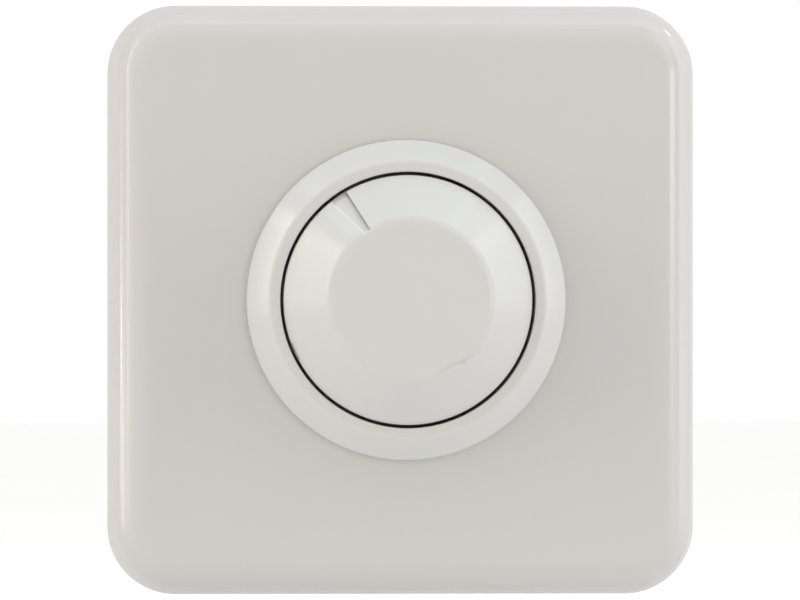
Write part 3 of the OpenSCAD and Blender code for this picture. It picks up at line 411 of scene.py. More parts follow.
class Nodes:
    """A short way to write a material's node tree."""

    def __init__(self, name):
        self.material = bpy.data.materials.new(name)
        self.material.use_nodes = True
        self.tree = self.material.node_tree
        self.shader = self.tree.nodes["Principled BSDF"]
        self.place = self.add("ShaderNodeTexCoord").outputs["Object"]

    def add(self, kind, links=(), **values):
        """A node with its properties set, and links as (input name, output socket or value)."""
        node = self.tree.nodes.new(kind)
        for key, value in values.items():
            setattr(node, key, value)
        for key, value in dict(links).items():
            if isinstance(value, bpy.types.NodeSocket):
                self.tree.links.new(value, node.inputs[key])
            else:
                node.inputs[key].default_value = value
        return node

    def stretched(self, scale):
        """Object coordinates, scaled apart along x, y and z."""
        return self.add("ShaderNodeMapping", {"Vector": self.place, "Scale": scale}).outputs["Vector"]

    def noise(self, scale, detail=2.0, roughness=0.5, vector=None):
        """A noise from 0 to 1, with scale in features per metre."""
        links = {"Vector": vector or self.place, "Scale": scale, "Detail": detail, "Roughness": roughness}
        return self.add("ShaderNodeTexNoise", links).outputs["Fac"]

    def ramp(self, value, low, high, to_low=0.0, to_high=1.0):
        """Value moved from the span low..high to the span to_low..to_high, and held inside it."""
        links = {"Value": value, "From Min": low, "From Max": high, "To Min": to_low, "To Max": to_high}
        return self.add("ShaderNodeMapRange", links).outputs["Result"]

    def blend(self, factor, first, second):
        """A colour from first to second as factor goes from 0 to 1."""
        node = self.add("ShaderNodeMix", data_type="RGBA")
        self.tree.links.new(factor, node.inputs["Factor"])
        for socket, value in ((node.inputs[6], first), (node.inputs[7], second)):
            if isinstance(value, bpy.types.NodeSocket):
                self.tree.links.new(value, socket)
            else:
                socket.default_value = (*value[:3], 1)
        return node.outputs[2]

    def calculated(self, operation, first, second):
        """A sum, product or other operation on two numbers."""
        return self.add("ShaderNodeMath", {0: first, 1: second}, operation=operation).outputs[0]

    def mark(self, start, end, width, fade):
        """A straight mark on the front from start to end, (right, up) in metres: 1 along its middle, 0 off it."""
        run = np.subtract(end, start)
        along = run / np.linalg.norm(run)
        place = self.add("ShaderNodeVectorMath", {0: self.place, 1: (start[0], 0, start[1])}, operation="SUBTRACT")
        made = []
        for way in ((along[0], 0, along[1]), (-along[1], 0, along[0])):
            links = {0: place.outputs["Vector"], 1: way}
            made.append(self.add("ShaderNodeVectorMath", links, operation="DOT_PRODUCT").outputs["Value"])
        off = self.ramp(self.calculated("ABSOLUTE", made[1], 0), width * 0.3, width, 1.0, 0.0)
        begun = self.ramp(made[0], -fade, fade)
        ended = self.ramp(made[0], float(np.linalg.norm(run)) - fade, float(np.linalg.norm(run)) + fade, 1.0, 0.0)
        return self.calculated("MULTIPLY", off, self.calculated("MULTIPLY", begun, ended))

    def bumped(self, height, strength, distance, before=None):
        """A bump from a height, on top of an earlier one."""
        links = {"Height": height, "Strength": strength, "Distance": distance}
        if before:
            links["Normal"] = before
        return self.add("ShaderNodeBump", links).outputs["Normal"]

    def finish(self, **sockets):
        """Sets the shader's sockets, from values or from other nodes, and gives the material."""
        for key, value in sockets.items():
            socket = self.shader.inputs[key.replace("_", " ")]
            if isinstance(value, bpy.types.NodeSocket):
                self.tree.links.new(value, socket)
            elif hasattr(value, "__len__"):
                socket.default_value = (*value[:3], 1)
            else:
                socket.default_value = value
        return self.material


def shade(base, factor):
    """A colour made darker or lighter."""
    return tuple(min(1.0, c * factor) for c in base[:3])


def moulded(
    name, base, roughness=0.25, mottle=0.03, grain=0.02, tint=(1.0, 1.0, 1.0), gloss=0.5, matt_side=None, worn=0, marks=()
):
    """Moulded plastic: faint flow marks, fine pores and a few hairline scratches in an even gloss.

    Matt_side is (start, end, added roughness): two distances from the wall between which the sides turn matt.
    Worn is the share by which a band across the middle is painted darker: painted shade across the plate's middle.
    Marks are (start, end, width, fade, strength, colour), as in Nodes.mark: painted shade in recesses, painted
    highlights on lit edges, and scuffs.
    """
    n = Nodes(name)
    flow = n.noise(28.0, 3.0, 0.55)
    pores = n.noise(5200.0, 2.0, 0.6)
    cloud = n.noise(140.0, 4.0, 0.6)
    darker = tuple(c * (1 - mottle) * t for c, t in zip(base, tint))
    lighter = shade(base, 1 + mottle)
    colour_now = n.blend(n.ramp(flow, 0.32, 0.68), darker, lighter)
    dusty = n.ramp(pores, 0.66, 0.80, 0.0, 0.35)
    colour_now = n.blend(dusty, colour_now, shade(base, 0.86))
    # Painted shade: a band across the middle, darkest just below the centre, is painted darker
    if worn:
        where = n.add("ShaderNodeSeparateXYZ", {"Vector": n.place})
        from_band = n.calculated("ABSOLUTE", n.calculated("ADD", where.outputs["Z"], 5 * MM), 0)
        from_middle = n.calculated("ABSOLUTE", where.outputs["X"], 0)
        band = n.calculated("MULTIPLY", n.ramp(from_band, 8 * MM, 30 * MM, 0.8, 0.0), n.ramp(from_middle, 36 * MM, 40 * MM, 1, 0))
        colour_now = n.blend(band, colour_now, shade(base, 1 - worn / 0.8))
    # Each mark paints shade, a highlight or a scuff into the colour
    for start, end, width, fade, strength, mark_colour in marks:
        masked = n.calculated("MULTIPLY", n.mark(start, end, width, fade), strength)
        colour_now = n.blend(masked, colour_now, mark_colour)
    hair = n.noise(1.0, 1.0, 0.5, n.stretched((260.0, 260.0, 5200.0)))
    scratch = n.ramp(hair, 0.735, 0.76)
    rough = n.ramp(cloud, 0.30, 0.70, roughness * 0.86, roughness * 1.16)
    rough = n.calculated("ADD", rough, n.calculated("MULTIPLY", scratch, 0.08))
    if matt_side:
        start, end, added = matt_side
        depth = n.add("ShaderNodeSeparateXYZ", {"Vector": n.place}).outputs["Y"]
        rough = n.calculated("ADD", rough, n.ramp(depth, -start, -end, 0.0, added))
        gloss = n.ramp(depth, -start - 1.2 * MM, -start + 0.4 * MM, gloss, gloss * 0.3)
    normal = n.bumped(pores, grain, 0.00004)
    normal = n.bumped(n.noise(420.0, 2.0), grain * 1.6, 0.00012, normal)
    return n.finish(Base_Color=colour_now, Roughness=rough, Normal=normal, IOR=1.49, Specular_IOR_Level=gloss)


def metal(name, base, roughness=0.35, streak=(600.0, 600.0, 600.0), tarnish=0.15, dent=0.05):
    """Plated or bare metal: streaks along the rolling direction, and patches where the plating is duller."""
    n = Nodes(name)
    lines = n.noise(1.0, 3.0, 0.6, n.stretched(streak))
    patches = n.noise(90.0, 4.0, 0.62)
    colour_now = n.blend(n.ramp(patches, 0.35, 0.70), base, shade(base, 1 - tarnish))
    colour_now = n.blend(n.ramp(lines, 0.45, 0.75, 0.0, 0.5), colour_now, shade(base, 0.88))
    rough = n.ramp(n.calculated("ADD", patches, lines), 0.7, 1.3, roughness * 0.8, roughness * 1.3)
    normal = n.bumped(lines, dent, 0.00005)
    normal = n.bumped(patches, dent, 0.0003, normal)
    return n.finish(Base_Color=colour_now, Roughness=rough, Normal=normal, Metallic=1.0)


def spangled_zinc(name, base, roughness=0.38):
    """Zinc on rolled steel: faint crystal facets under fine rolling lines."""
    n = Nodes(name)
    facets = n.add("ShaderNodeTexVoronoi", {"Vector": n.place, "Scale": 520.0}).outputs["Color"]
    facet = n.add("ShaderNodeSeparateColor", {"Color": facets}).outputs["Red"]
    lines = n.noise(1.0, 3.0, 0.6, n.stretched((90.0, 2400.0, 2400.0)))
    colour_now = n.blend(n.ramp(facet, 0.0, 1.0, 0.0, 0.55), base, shade(base, 0.86))
    colour_now = n.blend(n.ramp(n.noise(60.0, 4.0), 0.40, 0.75, 0.0, 0.4), colour_now, shade(base, 0.80))
    rough = n.ramp(n.calculated("ADD", facet, lines), 0.3, 1.6, roughness * 0.8, roughness * 1.25)
    return n.finish(
        Base_Color=colour_now, Roughness=rough, Normal=n.bumped(lines, 0.05, 0.00004), Metallic=1.0
    )


def laminate(name, base, dark, fibre=1500.0, roughness=0.6):
    """Pressed laminate or paper board: crossed fibres in two tones."""
    n = Nodes(name)
    one = n.noise(1.0, 3.0, 0.6, n.stretched((fibre, fibre, fibre / 9)))
    other = n.noise(1.0, 3.0, 0.6, n.stretched((fibre / 9, fibre, fibre)))
    weave = n.calculated("MAXIMUM", one, other)
    colour_now = n.blend(n.ramp(weave, 0.5, 0.72), dark, base)
    return n.finish(
        Base_Color=colour_now,
        Roughness=n.ramp(weave, 0.4, 0.8, roughness * 1.15, roughness * 0.85),
        Normal=n.bumped(weave, 0.12, 0.00008),
    )


def solder_mask(name, base):
    """Green circuit board: darker where copper tracks run below the lacquer, with tinned pads."""
    n = Nodes(name)
    tracks = n.add(
        "ShaderNodeTexVoronoi", {"Vector": n.place, "Scale": 260.0}, distance="MANHATTAN", feature="F1"
    ).outputs["Distance"]
    line = n.ramp(tracks, 0.30, 0.34)
    colour_now = n.blend(line, shade(base, 1.5), base)
    colour_now = n.blend(n.ramp(n.noise(900.0, 3.0), 0.45, 0.7, 0.0, 0.4), colour_now, shade(base, 0.8))
    normal = n.bumped(line, 0.2, 0.00004)
    return n.finish(Base_Color=colour_now, Roughness=n.ramp(n.noise(300.0), 0.3, 0.7, 0.28, 0.42), Normal=normal)


def banded(name, base, bands, centre, spacing, roughness=0.45):
    """A resistor's or diode's body, with coloured bands across its length at distances from its middle."""
    n = Nodes(name)
    x = n.add("ShaderNodeSeparateXYZ", {"Vector": n.place}).outputs["X"]
    colour_now = n.blend(n.ramp(n.noise(700.0, 3.0), 0.3, 0.7), shade(base, 0.9), shade(base, 1.08))
    for i, band in enumerate(bands):
        away = n.calculated("ABSOLUTE", n.calculated("SUBTRACT", x, centre + spacing * (i - (len(bands) - 1) / 2)), 0)
        near = n.ramp(away, spacing * 0.26, spacing * 0.30, 1.0, 0.0)
        colour_now = n.blend(near, colour_now, band)
    return n.finish(
        Base_Color=colour_now,
        Roughness=n.ramp(n.noise(500.0), 0.3, 0.7, roughness * 0.85, roughness * 1.15),
        Normal=n.bumped(n.noise(1800.0, 2.0), 0.06, 0.00006),
    )


def glass(name, base):
    """Fuse glass with faint streaks from drawing."""
    n = Nodes(name)
    streaks = n.noise(1.0, 2.0, 0.5, n.stretched((60.0, 1800.0, 1800.0)))
    return n.finish(
        Base_Color=n.blend(n.ramp(streaks, 0.3, 0.7), shade(base, 0.94), base),
        Roughness=n.ramp(streaks, 0.3, 0.7, 0.02, 0.07),
        Normal=n.bumped(streaks, 0.02, 0.00005),
        Transmission_Weight=1.0,
        IOR=1.5,
    )


def enamelled(name, base):
    """Copper wire under clear enamel, a little darker in patches."""
    n = Nodes(name)
    patches = n.noise(380.0, 3.0, 0.6)
    return n.finish(
        Base_Color=n.blend(n.ramp(patches, 0.35, 0.7), base, shade(base, 0.72)),
        Roughness=n.ramp(patches, 0.3, 0.7, 0.2, 0.32),
        Normal=n.bumped(n.noise(2600.0, 2.0), 0.05, 0.00003),
        Metallic=0.85,
        Coat_Weight=0.6,
        Coat_Roughness=0.12,
    )


def ferrite(name, base):
    """Pressed core with a sandy lacquer."""
    n = Nodes(name)
    grit = n.noise(3200.0, 3.0, 0.7)
    return n.finish(
        Base_Color=n.blend(n.ramp(grit, 0.3, 0.7), shade(base, 0.82), shade(base, 1.12)),
        Roughness=n.ramp(grit, 0.3, 0.7, 0.42, 0.62),
        Normal=n.bumped(grit, 0.2, 0.00006),
    )


# Marks on the knob's front, (right, up) in metres: painted shade along the pocket's steep wall, painted highlights on
# its gentle wall and its inner end, and a scuff along the edge of the flat
KNOB_SHADE_HIGHLIGHTS_AND_SCUFFS = [
    # Painted shade: the steep wall's shadow, painted as a dark line
    ((-6.10 * MM, 10.2 * MM), (-9.05 * MM, 15.6 * MM), 0.18 * MM, 0.15 * MM, 0.80, (0.20, 0.20, 0.19)),
    # Painted highlights: the gentle wall and the inner end, where the light falls, painted lighter
    ((-7.00 * MM, 9.75 * MM), (-10.75 * MM, 13.9 * MM), 0.26 * MM, 0.2 * MM, 0.9, (0.86, 0.85, 0.82)),
    ((-7.00 * MM, 9.60 * MM), (-6.20 * MM, 10.1 * MM), 0.14 * MM, 0.1 * MM, 0.8, (0.82, 0.81, 0.78)),
    ((4.30 * MM, -10.35 * MM), (9.00 * MM, -7.95 * MM), 0.30 * MM, 1.6 * MM, 0.20, (0.30, 0.28, 0.23)),
    ((7.20 * MM, -9.25 * MM), (7.90 * MM, -8.85 * MM), 0.28 * MM, 0.3 * MM, 0.25, (0.26, 0.24, 0.18)),
]


def all_finishes(colours):
    """Every finish of the dimmer by name."""
    zinc = (0.56, 0.57, 0.58)
    steel = (0.50, 0.51, 0.52)
    brass = (0.72, 0.55, 0.28)
    tin = (0.66, 0.66, 0.64)
    gloss = colours.gloss
    return {
        # The plate's last figure is the share of painted shade in the band across its middle
        "plate": moulded(
            "plate_plastic", tuple(colours.plate), gloss, 0.006, 0.008, (1.0, 0.998, 0.99), 0.4,
            (7.2 * MM, 5.2 * MM, 0.40), 0.055
        ),
        "ring": moulded("ring_plastic", tuple(colours.ring), gloss * 1.1, 0.006, 0.008, gloss=0.4),
        "knob": moulded(
            "knob_plastic", tuple(colours.knob), gloss * 1.2, 0.006, 0.008, gloss=0.4, marks=KNOB_SHADE_HIGHLIGHTS_AND_SCUFFS
        ),
        "housing": moulded("housing_plastic", tuple(colours.housing), 0.42, 0.05, 0.10, (1.0, 0.98, 0.94)),
        "frame": spangled_zinc("zinc_frame", zinc),
        "claw": spangled_zinc("zinc_claw", (0.53, 0.53, 0.50), 0.42),
        "screw": metal("screw_steel", zinc, 0.30, (2400.0, 500.0, 2400.0), 0.18, 0.04),
        "brass": metal("nut_brass", brass, 0.30, (800.0, 2600.0, 800.0), 0.22, 0.05),
        "clamp": metal("clamp_brass", brass, 0.34, (300.0, 2600.0, 2600.0), 0.25, 0.06),
        "spring_brass": metal("spring_brass", (0.75, 0.60, 0.34), 0.24, (2400.0, 300.0, 300.0), 0.12, 0.03),
        "steel": metal("clip_steel", steel, 0.32, (1200.0, 1200.0, 1200.0), 0.20, 0.04),
        "case": metal("case_steel", (0.52, 0.53, 0.52), 0.36, (500.0, 500.0, 2600.0), 0.18, 0.05),
        "bush": metal("bush_alloy", (0.55, 0.56, 0.57), 0.28, (900.0, 2600.0, 900.0), 0.14, 0.03),
        "tin": metal("tinned_leads", tin, 0.26, (900.0, 900.0, 900.0), 0.15, 0.05),
        "solder": metal("solder", (0.60, 0.61, 0.62), 0.22, (1400.0, 1400.0, 1400.0), 0.22, 0.10),
        "rotor": moulded("rotor_plastic", (0.045, 0.045, 0.048), 0.38, 0.08, 0.08),
        "switch": moulded("switch_plastic", (0.030, 0.032, 0.036), 0.40, 0.10, 0.10),
        "plunger": moulded("plunger_plastic", (0.68, 0.64, 0.56), 0.34, 0.05, 0.06),
        "black_body": moulded("black_epoxy", (0.022, 0.022, 0.025), 0.48, 0.10, 0.16),
        "film": moulded("film_box", (0.62, 0.54, 0.10), 0.36, 0.05, 0.08),
        "timing": moulded("timing_dip", (0.42, 0.075, 0.035), 0.28, 0.08, 0.10),
        "trimmer": moulded("trimmer_blue", (0.035, 0.085, 0.36), 0.36, 0.06, 0.07),
        "trimmer_top": moulded("trimmer_white", (0.74, 0.71, 0.64), 0.36, 0.04, 0.06),
        "wafer": laminate("wafer_laminate", (0.30, 0.145, 0.055), (0.19, 0.085, 0.03)),
        "base": laminate("switch_laminate", (0.24, 0.11, 0.045), (0.15, 0.065, 0.025)),
        "pad": laminate("grey_pad", (0.34, 0.38, 0.42), (0.27, 0.31, 0.35), 2600.0, 0.7),
        "track": ferrite("carbon_track", (0.022, 0.022, 0.025)),
        "board": solder_mask("board_mask", (0.030, 0.155, 0.055)),
        "core": ferrite("core_lacquer", (0.56, 0.50, 0.33)),
        "winding": enamelled("winding_wire", (0.62, 0.24, 0.085)),
        "resistor": banded(
            "resistor_lacquer",
            (0.58, 0.44, 0.26),
            [(0.30, 0.10, 0.03), (0.02, 0.02, 0.02), (0.62, 0.20, 0.02), (0.55, 0.40, 0.10)],
            -13.1 * MM,
            1.3 * MM,
        ),
        "diac": banded("diac_glass", (0.045, 0.11, 0.34), [(0.02, 0.02, 0.02)], 12.6 * MM, 2.4 * MM, 0.25),
        "glass": glass("fuse_glass", (0.93, 0.96, 0.96)),
        "wire": metal("fuse_wire", (0.42, 0.42, 0.43), 0.3, (900.0, 900.0, 900.0), 0.1, 0.02),
    }


NODE_FINISH = {
    "cover_plate": "plate",
    "trim_ring": "ring",
    "knob": "knob",
    "knob_clamp_ring": "steel",
    "retaining_nut": "brass",
    "lock_washer": "steel",
    "bush_nut": "brass",
    "support_frame": "frame",
    "left_claw": "claw",
    "right_claw": "claw",
    "left_claw_screw": "screw",
    "right_claw_screw": "screw",
    "housing": "housing",
    "housing_screws": "screw",
    "circuit_board": "board",
    "solder_joints": "solder",
    "pot_bush": "bush",
    "pot_case": "case",
    "pot_rotor": "rotor",
    "pot_wiper": "spring_brass",
    "pot_wafer": "wafer",
    "pot_track": "track",
    "pot_terminals": "tin",
    "pot_shaft": "bush",
    "shaft_clip": "steel",
    "switch_body": "switch",
    "switch_base": "base",
    "switch_plunger": "plunger",
    "switch_spring": "steel",
    "switch_pins": "tin",
    "switch_contacts": "spring_brass",
    "switch_bridge": "spring_brass",
    "choke_core": "core",
    "choke_winding": "winding",
    "film_capacitor": "film",
    "timing_capacitor": "timing",
    "triac_body": "black_body",
    "triac_tab": "tin",
    "insulating_pad": "pad",
    "triac_rivet": "steel",
    "diac": "diac",
    "resistors": "resistor",
    "fuse_tube": "glass",
    "fuse_caps": "tin",
    "fuse_wire": "wire",
    "fuse_clips": "spring_brass",
    "trimmer_base": "trimmer",
    "trimmer_rotor": "trimmer_top",
    "terminal_clamps": "clamp",
    "terminal_screws": "screw",
}
FINISH = {}


class DIMMER_OT_finishes(bpy.types.Operator):
    """Makes every finish and gives each CAD node its own"""

    bl_idname = "dimmer.finishes"
    bl_label = "Finishes"

    def execute(self, context):
        FINISH.update(all_finishes(context.scene.dimmer_finishes))
        missing = sorted(set(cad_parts) - set(NODE_FINISH))
        if missing:
            raise RuntimeError(f"no finish is named for {missing}")
        for name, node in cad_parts.items():
            node.data.materials.clear()
            node.data.materials.append(FINISH[NODE_FINISH[name]])
        return {"FINISHED"}


class DIMMER_OT_cover_plate(bpy.types.Operator):
    """Makes the cover plate with its collar and ribs"""

    bl_idname = "dimmer.cover_plate"
    bl_label = "Cover plate"

    def execute(self, context):
        s = context.scene.dimmer_plate
        inner, outward = rounded_square(s.width / 2, s.corner, 24, 20)
        edge = rounded(
            [
                (s.corner - s.draft - s.round_r * 1.5, s.height, 0),
                (s.corner - s.draft, s.height, s.round_r),
                (s.corner, 0, 0.25 * MM),
                (s.corner - s.wall, 0, 0.25 * MM),
                (s.corner - s.wall - s.draft, s.height - s.skin, s.round_r - s.skin / 2),
                (s.corner - s.wall - s.draft - s.round_r, s.height - s.skin, 0),
            ],
            24,
        )
        collar_r = s.hole_r + s.collar
        collar = rounded(
            [
                (collar_r + 2 * MM, s.height - s.skin, 0),
                (collar_r, s.height - s.skin, 0.4 * MM),
                (collar_r, s.rib_low, 0.2 * MM),
                (s.hole_r, s.rib_low, 0.2 * MM),
                (s.hole_r, s.height, 0.15 * MM),
                (s.hole_r + 2 * MM, s.height, 0),
            ],
            6,
        )
        square = inner[:, None] + outward[:, None] * edge[None, :, :1]
        turn = np.arctan2(square[:, 0, 1], square[:, 0, 0])
        direction = np.stack([np.cos(turn), np.sin(turn)], -1)
        circle = direction[:, None] * collar[None, :, :1]
        grid = np.concatenate([square, circle, square[:, :1]], axis=1)
        heights = np.concatenate([edge[:, 1], collar[:, 1], edge[:1, 1]])
        shell = out_of_wall(grid[..., 0], grid[..., 1], np.broadcast_to(heights, grid.shape[:2]))
        piece("cover_plate_shell", [shell], "root", FINISH["plate"], ["cover_plate"])
        bars = []
        tall = s.height - s.skin - s.rib_low
        for k in range(8):
            turn_now = math.radians(22.5 + 45 * k)
            direct = np.array([math.cos(turn_now), math.sin(turn_now)])
            reach = (s.width / 2 - s.wall - s.draft) / max(abs(direct)) + 0.3 * MM
            reach = min(reach, s.width / 2 / max(abs(direct)) - s.wall)
            ends = [out_of_wall(*(direct * r), s.rib_low + tall / 2) for r in (collar_r - 0.3 * MM, reach)]
            out = np.array([0, -1.0, 0])
            bars.append(rounded_bar(ends[0], ends[1], s.rib_t, tall + 0.4 * MM, out, 0.2 * MM))
        piece("cover_plate_ribs", bars, "root", FINISH["plate"], ())
        return {"FINISHED"}


class DIMMER_OT_trim_ring(bpy.types.Operator):
    """Makes the trim ring, one turned shell from crest to cup floor"""

    bl_idname = "dimmer.trim_ring"
    bl_label = "Trim ring"

    def execute(self, context):
        s = context.scene.dimmer_ring
        plate_h = context.scene.dimmer_plate.height
        low = back_of("trim_ring")
        corners = [
            (s.floor_r, low + s.floor_t / 2, 0),
            (s.floor_r, low, 0.1 * MM),
            (s.cup_r, low, 0.5 * MM),
            (s.cup_r, plate_h, 0.1 * MM),
            (s.foot_r, plate_h, 0.1 * MM),
            (s.foot_r, plate_h + s.edge, 0.7 * MM),
            (s.crest_r, s.crest_h, 0.9 * MM),
            (s.bore_r, s.crest_h - s.bevel, 0.25 * MM),
            (s.bore_r, low + s.floor_t, 0.6 * MM),
            (s.floor_r, low + s.floor_t, 0.1 * MM),
            (s.floor_r, low + s.floor_t / 2, 0),
        ]
        profile = filled(rounded(corners, 12), 2 * MM)
        piece("trim_ring_shell", [revolved(profile, 256)], "root", FINISH["ring"], ["trim_ring"])
        return {"FINISHED"}


def knob_turns(pocket_half, nick_turn):
    """Turns of the knob's lines from the pointer: close together at the pocket's walls and at the nick."""
    near = np.concatenate([np.linspace(0, 0.3, 4)[:-1], np.linspace(0.3, 1.04, 38), [1.1, 1.25, 1.5]])
    pocket = np.concatenate([-near[:0:-1], near]) * pocket_half
    start = 1.5 * pocket_half
    wide = np.linspace(start, 2 * math.pi - start, 250)[1:-1]
    nick = nick_turn + np.radians(np.linspace(-6.5, 6.5, 53))
    wide = wide[np.abs(wide - nick_turn) > math.radians(7)]
    return np.sort(np.concatenate([pocket, wide, nick]))


class DIMMER_OT_knob(bpy.types.Operator):
    """Makes the knob with its pointer pocket, worn nick, hub and ribs"""

    bl_idname = "dimmer.knob"
    bl_label = "Knob"

    def execute(self, context):
        s = context.scene.dimmer_knob
        inside = s.top - s.wall
        level = s.top - s.crown
        soft = 0.3 * MM
        outer = rounded(
            [(0, level, 0), (s.flat_r, level, s.flat_round), (s.rim_r, s.rim_h, soft), (s.rim_r, s.skirt, 0)], 40
        )
        inner = rounded(
            [
                (s.rim_r, s.skirt, 0),
                (s.rim_r - s.wall, s.skirt, 0.1 * MM),
                (s.rim_r - s.wall, s.rim_h - s.wall / 2, 0.5 * MM),
                (s.flat_r - s.wall / 2, inside, s.wall),
                (0, inside, 0),
            ],
            8,
        )
        outer = filled(outer, 0.22 * MM)
        profile = np.concatenate([outer, filled(inner, 1.5 * MM)[1:]])
        r, h = profile[:, 0], profile[:, 1]
        crown = s.crown * (1 - np.clip(r / (s.flat_r - s.flat_round), 0, 1) ** 2)
        crown[len(outer) :] = 0

        flank = np.array([s.rim_r - s.flat_r, s.rim_h - level])
        flank_l = np.linalg.norm(flank)
        along = flank / flank_l
        out = np.array([-along[1], along[0]])
        from_corner = np.stack([r - s.flat_r, h - level], -1)
        t_len = from_corner @ along
        below = -(from_corner @ out)
        share = np.clip(t_len / flank_l, 0, 1.2)
        half_w = (s.pointer_tip + (s.pointer_w - s.pointer_tip) * share) / 2
        safe_r = np.maximum(r, s.flat_r)
        half_turn = half_w / safe_r
        rim_half = s.pointer_w / 2 / s.rim_r

        nick_turn = (s.nick - (math.pi / 2 + s.pointer)) % (2 * math.pi)
        turns = knob_turns(rim_half, nick_turn)
        signed = (turns + math.pi) % (2 * math.pi) - math.pi
        hold = 1 - smoothstep((np.abs(signed) - rim_half) / 0.3)
        near = np.where(np.abs(signed) <= rim_half, signed / rim_half, np.sign(signed) * hold)
        offset = signed[:, None] + near[:, None] * (half_turn - rim_half)[None, :]
        # The pocket: a steep wall on its upper right, a gentle one on its lower left, and a floor that rises to it
        lateral = offset * safe_r[None, :]
        wall_w = np.where(lateral < 0, 0.24 * MM, 0.44 * MM)
        across = smoothstep((half_w[None, :] - np.abs(lateral)) / wall_w)
        floor = s.pointer_depth - 0.12 * MM * np.clip(lateral / half_w[None, :], -1, 1)
        deep = smoothstep(t_len / (0.2 * MM))[None, :] * np.maximum(0, floor - below[None, :])
        sunk = across * deep * (np.arange(len(r)) < len(outer))[None, :]

        # The nick: a shallow bite at the rim, deepest in its middle
        from_nick = (offset - nick_turn + math.pi) % (2 * math.pi) - math.pi
        reach = np.abs(from_nick) * s.rim_r / (1.45 * MM)
        bite = smoothstep((1 - reach) / 0.25) * 0.16 * MM
        at_rim = smoothstep(1 - np.abs(h - s.rim_h + 0.1 * MM) / (0.55 * MM)) * (r > s.rim_r - 0.5 * MM)
        bite = bite * at_rim[None, :] * (np.arange(len(r)) < len(outer))[None, :]

        new_r = r[None, :] - sunk * out[0] - bite
        new_h = (h + crown)[None, :] - sunk * out[1]
        turn = math.pi / 2 + s.pointer + offset
        shell = out_of_wall(new_r * np.cos(turn), new_r * np.sin(turn), new_h)
        piece("knob_shell", [shell], "stem", FINISH["knob"], ["knob"], 40)

        hub_low, hub_r, shaft_r, shaft_flat = 10.5 * MM, 4.6 * MM, 3.0 * MM, 1.6 * MM
        t = np.arange(96) * 2 * math.pi / 96
        flat_r = np.minimum(shaft_r, shaft_flat / np.maximum(np.cos(t), 1e-3))
        flat_r = np.where(np.cos(t) > 0, flat_r, shaft_r)
        line = [
            (flat_r, np.full(96, inside)),
            (flat_r, np.full(96, hub_low + 0.3 * MM)),
            (flat_r + 0.3 * MM, np.full(96, hub_low)),
            (np.full(96, hub_r - 0.2 * MM), np.full(96, hub_low)),
            (np.full(96, hub_r), np.full(96, hub_low + 0.2 * MM)),
            (np.full(96, hub_r), np.full(96, inside + 0.4 * MM)),
            (flat_r, np.full(96, inside + 0.4 * MM)),
            (flat_r, np.full(96, inside)),
        ]
        radii = np.stack([a for a, _ in line], 1)
        heights = np.stack([b for _, b in line], 1)
        turn = (t + math.pi / 2 + s.pointer)[:, None]
        hub = out_of_wall(radii * np.cos(turn), radii * np.sin(turn), heights)
        bars = []
        rib_low = hub_low + 1.0 * MM
        for k in range(6):
            turn_now = s.pointer + math.radians(60 * k)
            direct = np.array([math.cos(turn_now), math.sin(turn_now)])
            tall = inside - rib_low
            ends = [out_of_wall(*(direct * q), rib_low + tall / 2 + 0.1 * MM) for q in (hub_r - 0.2 * MM, 11.7 * MM)]
            bars.append(rounded_bar(ends[0], ends[1], 1.0 * MM, tall + 0.2 * MM, np.array([0, -1.0, 0]), 0.15 * MM))
        piece("knob_hub", [hub, *bars], "stem", FINISH["knob"], ())
        return {"FINISHED"}


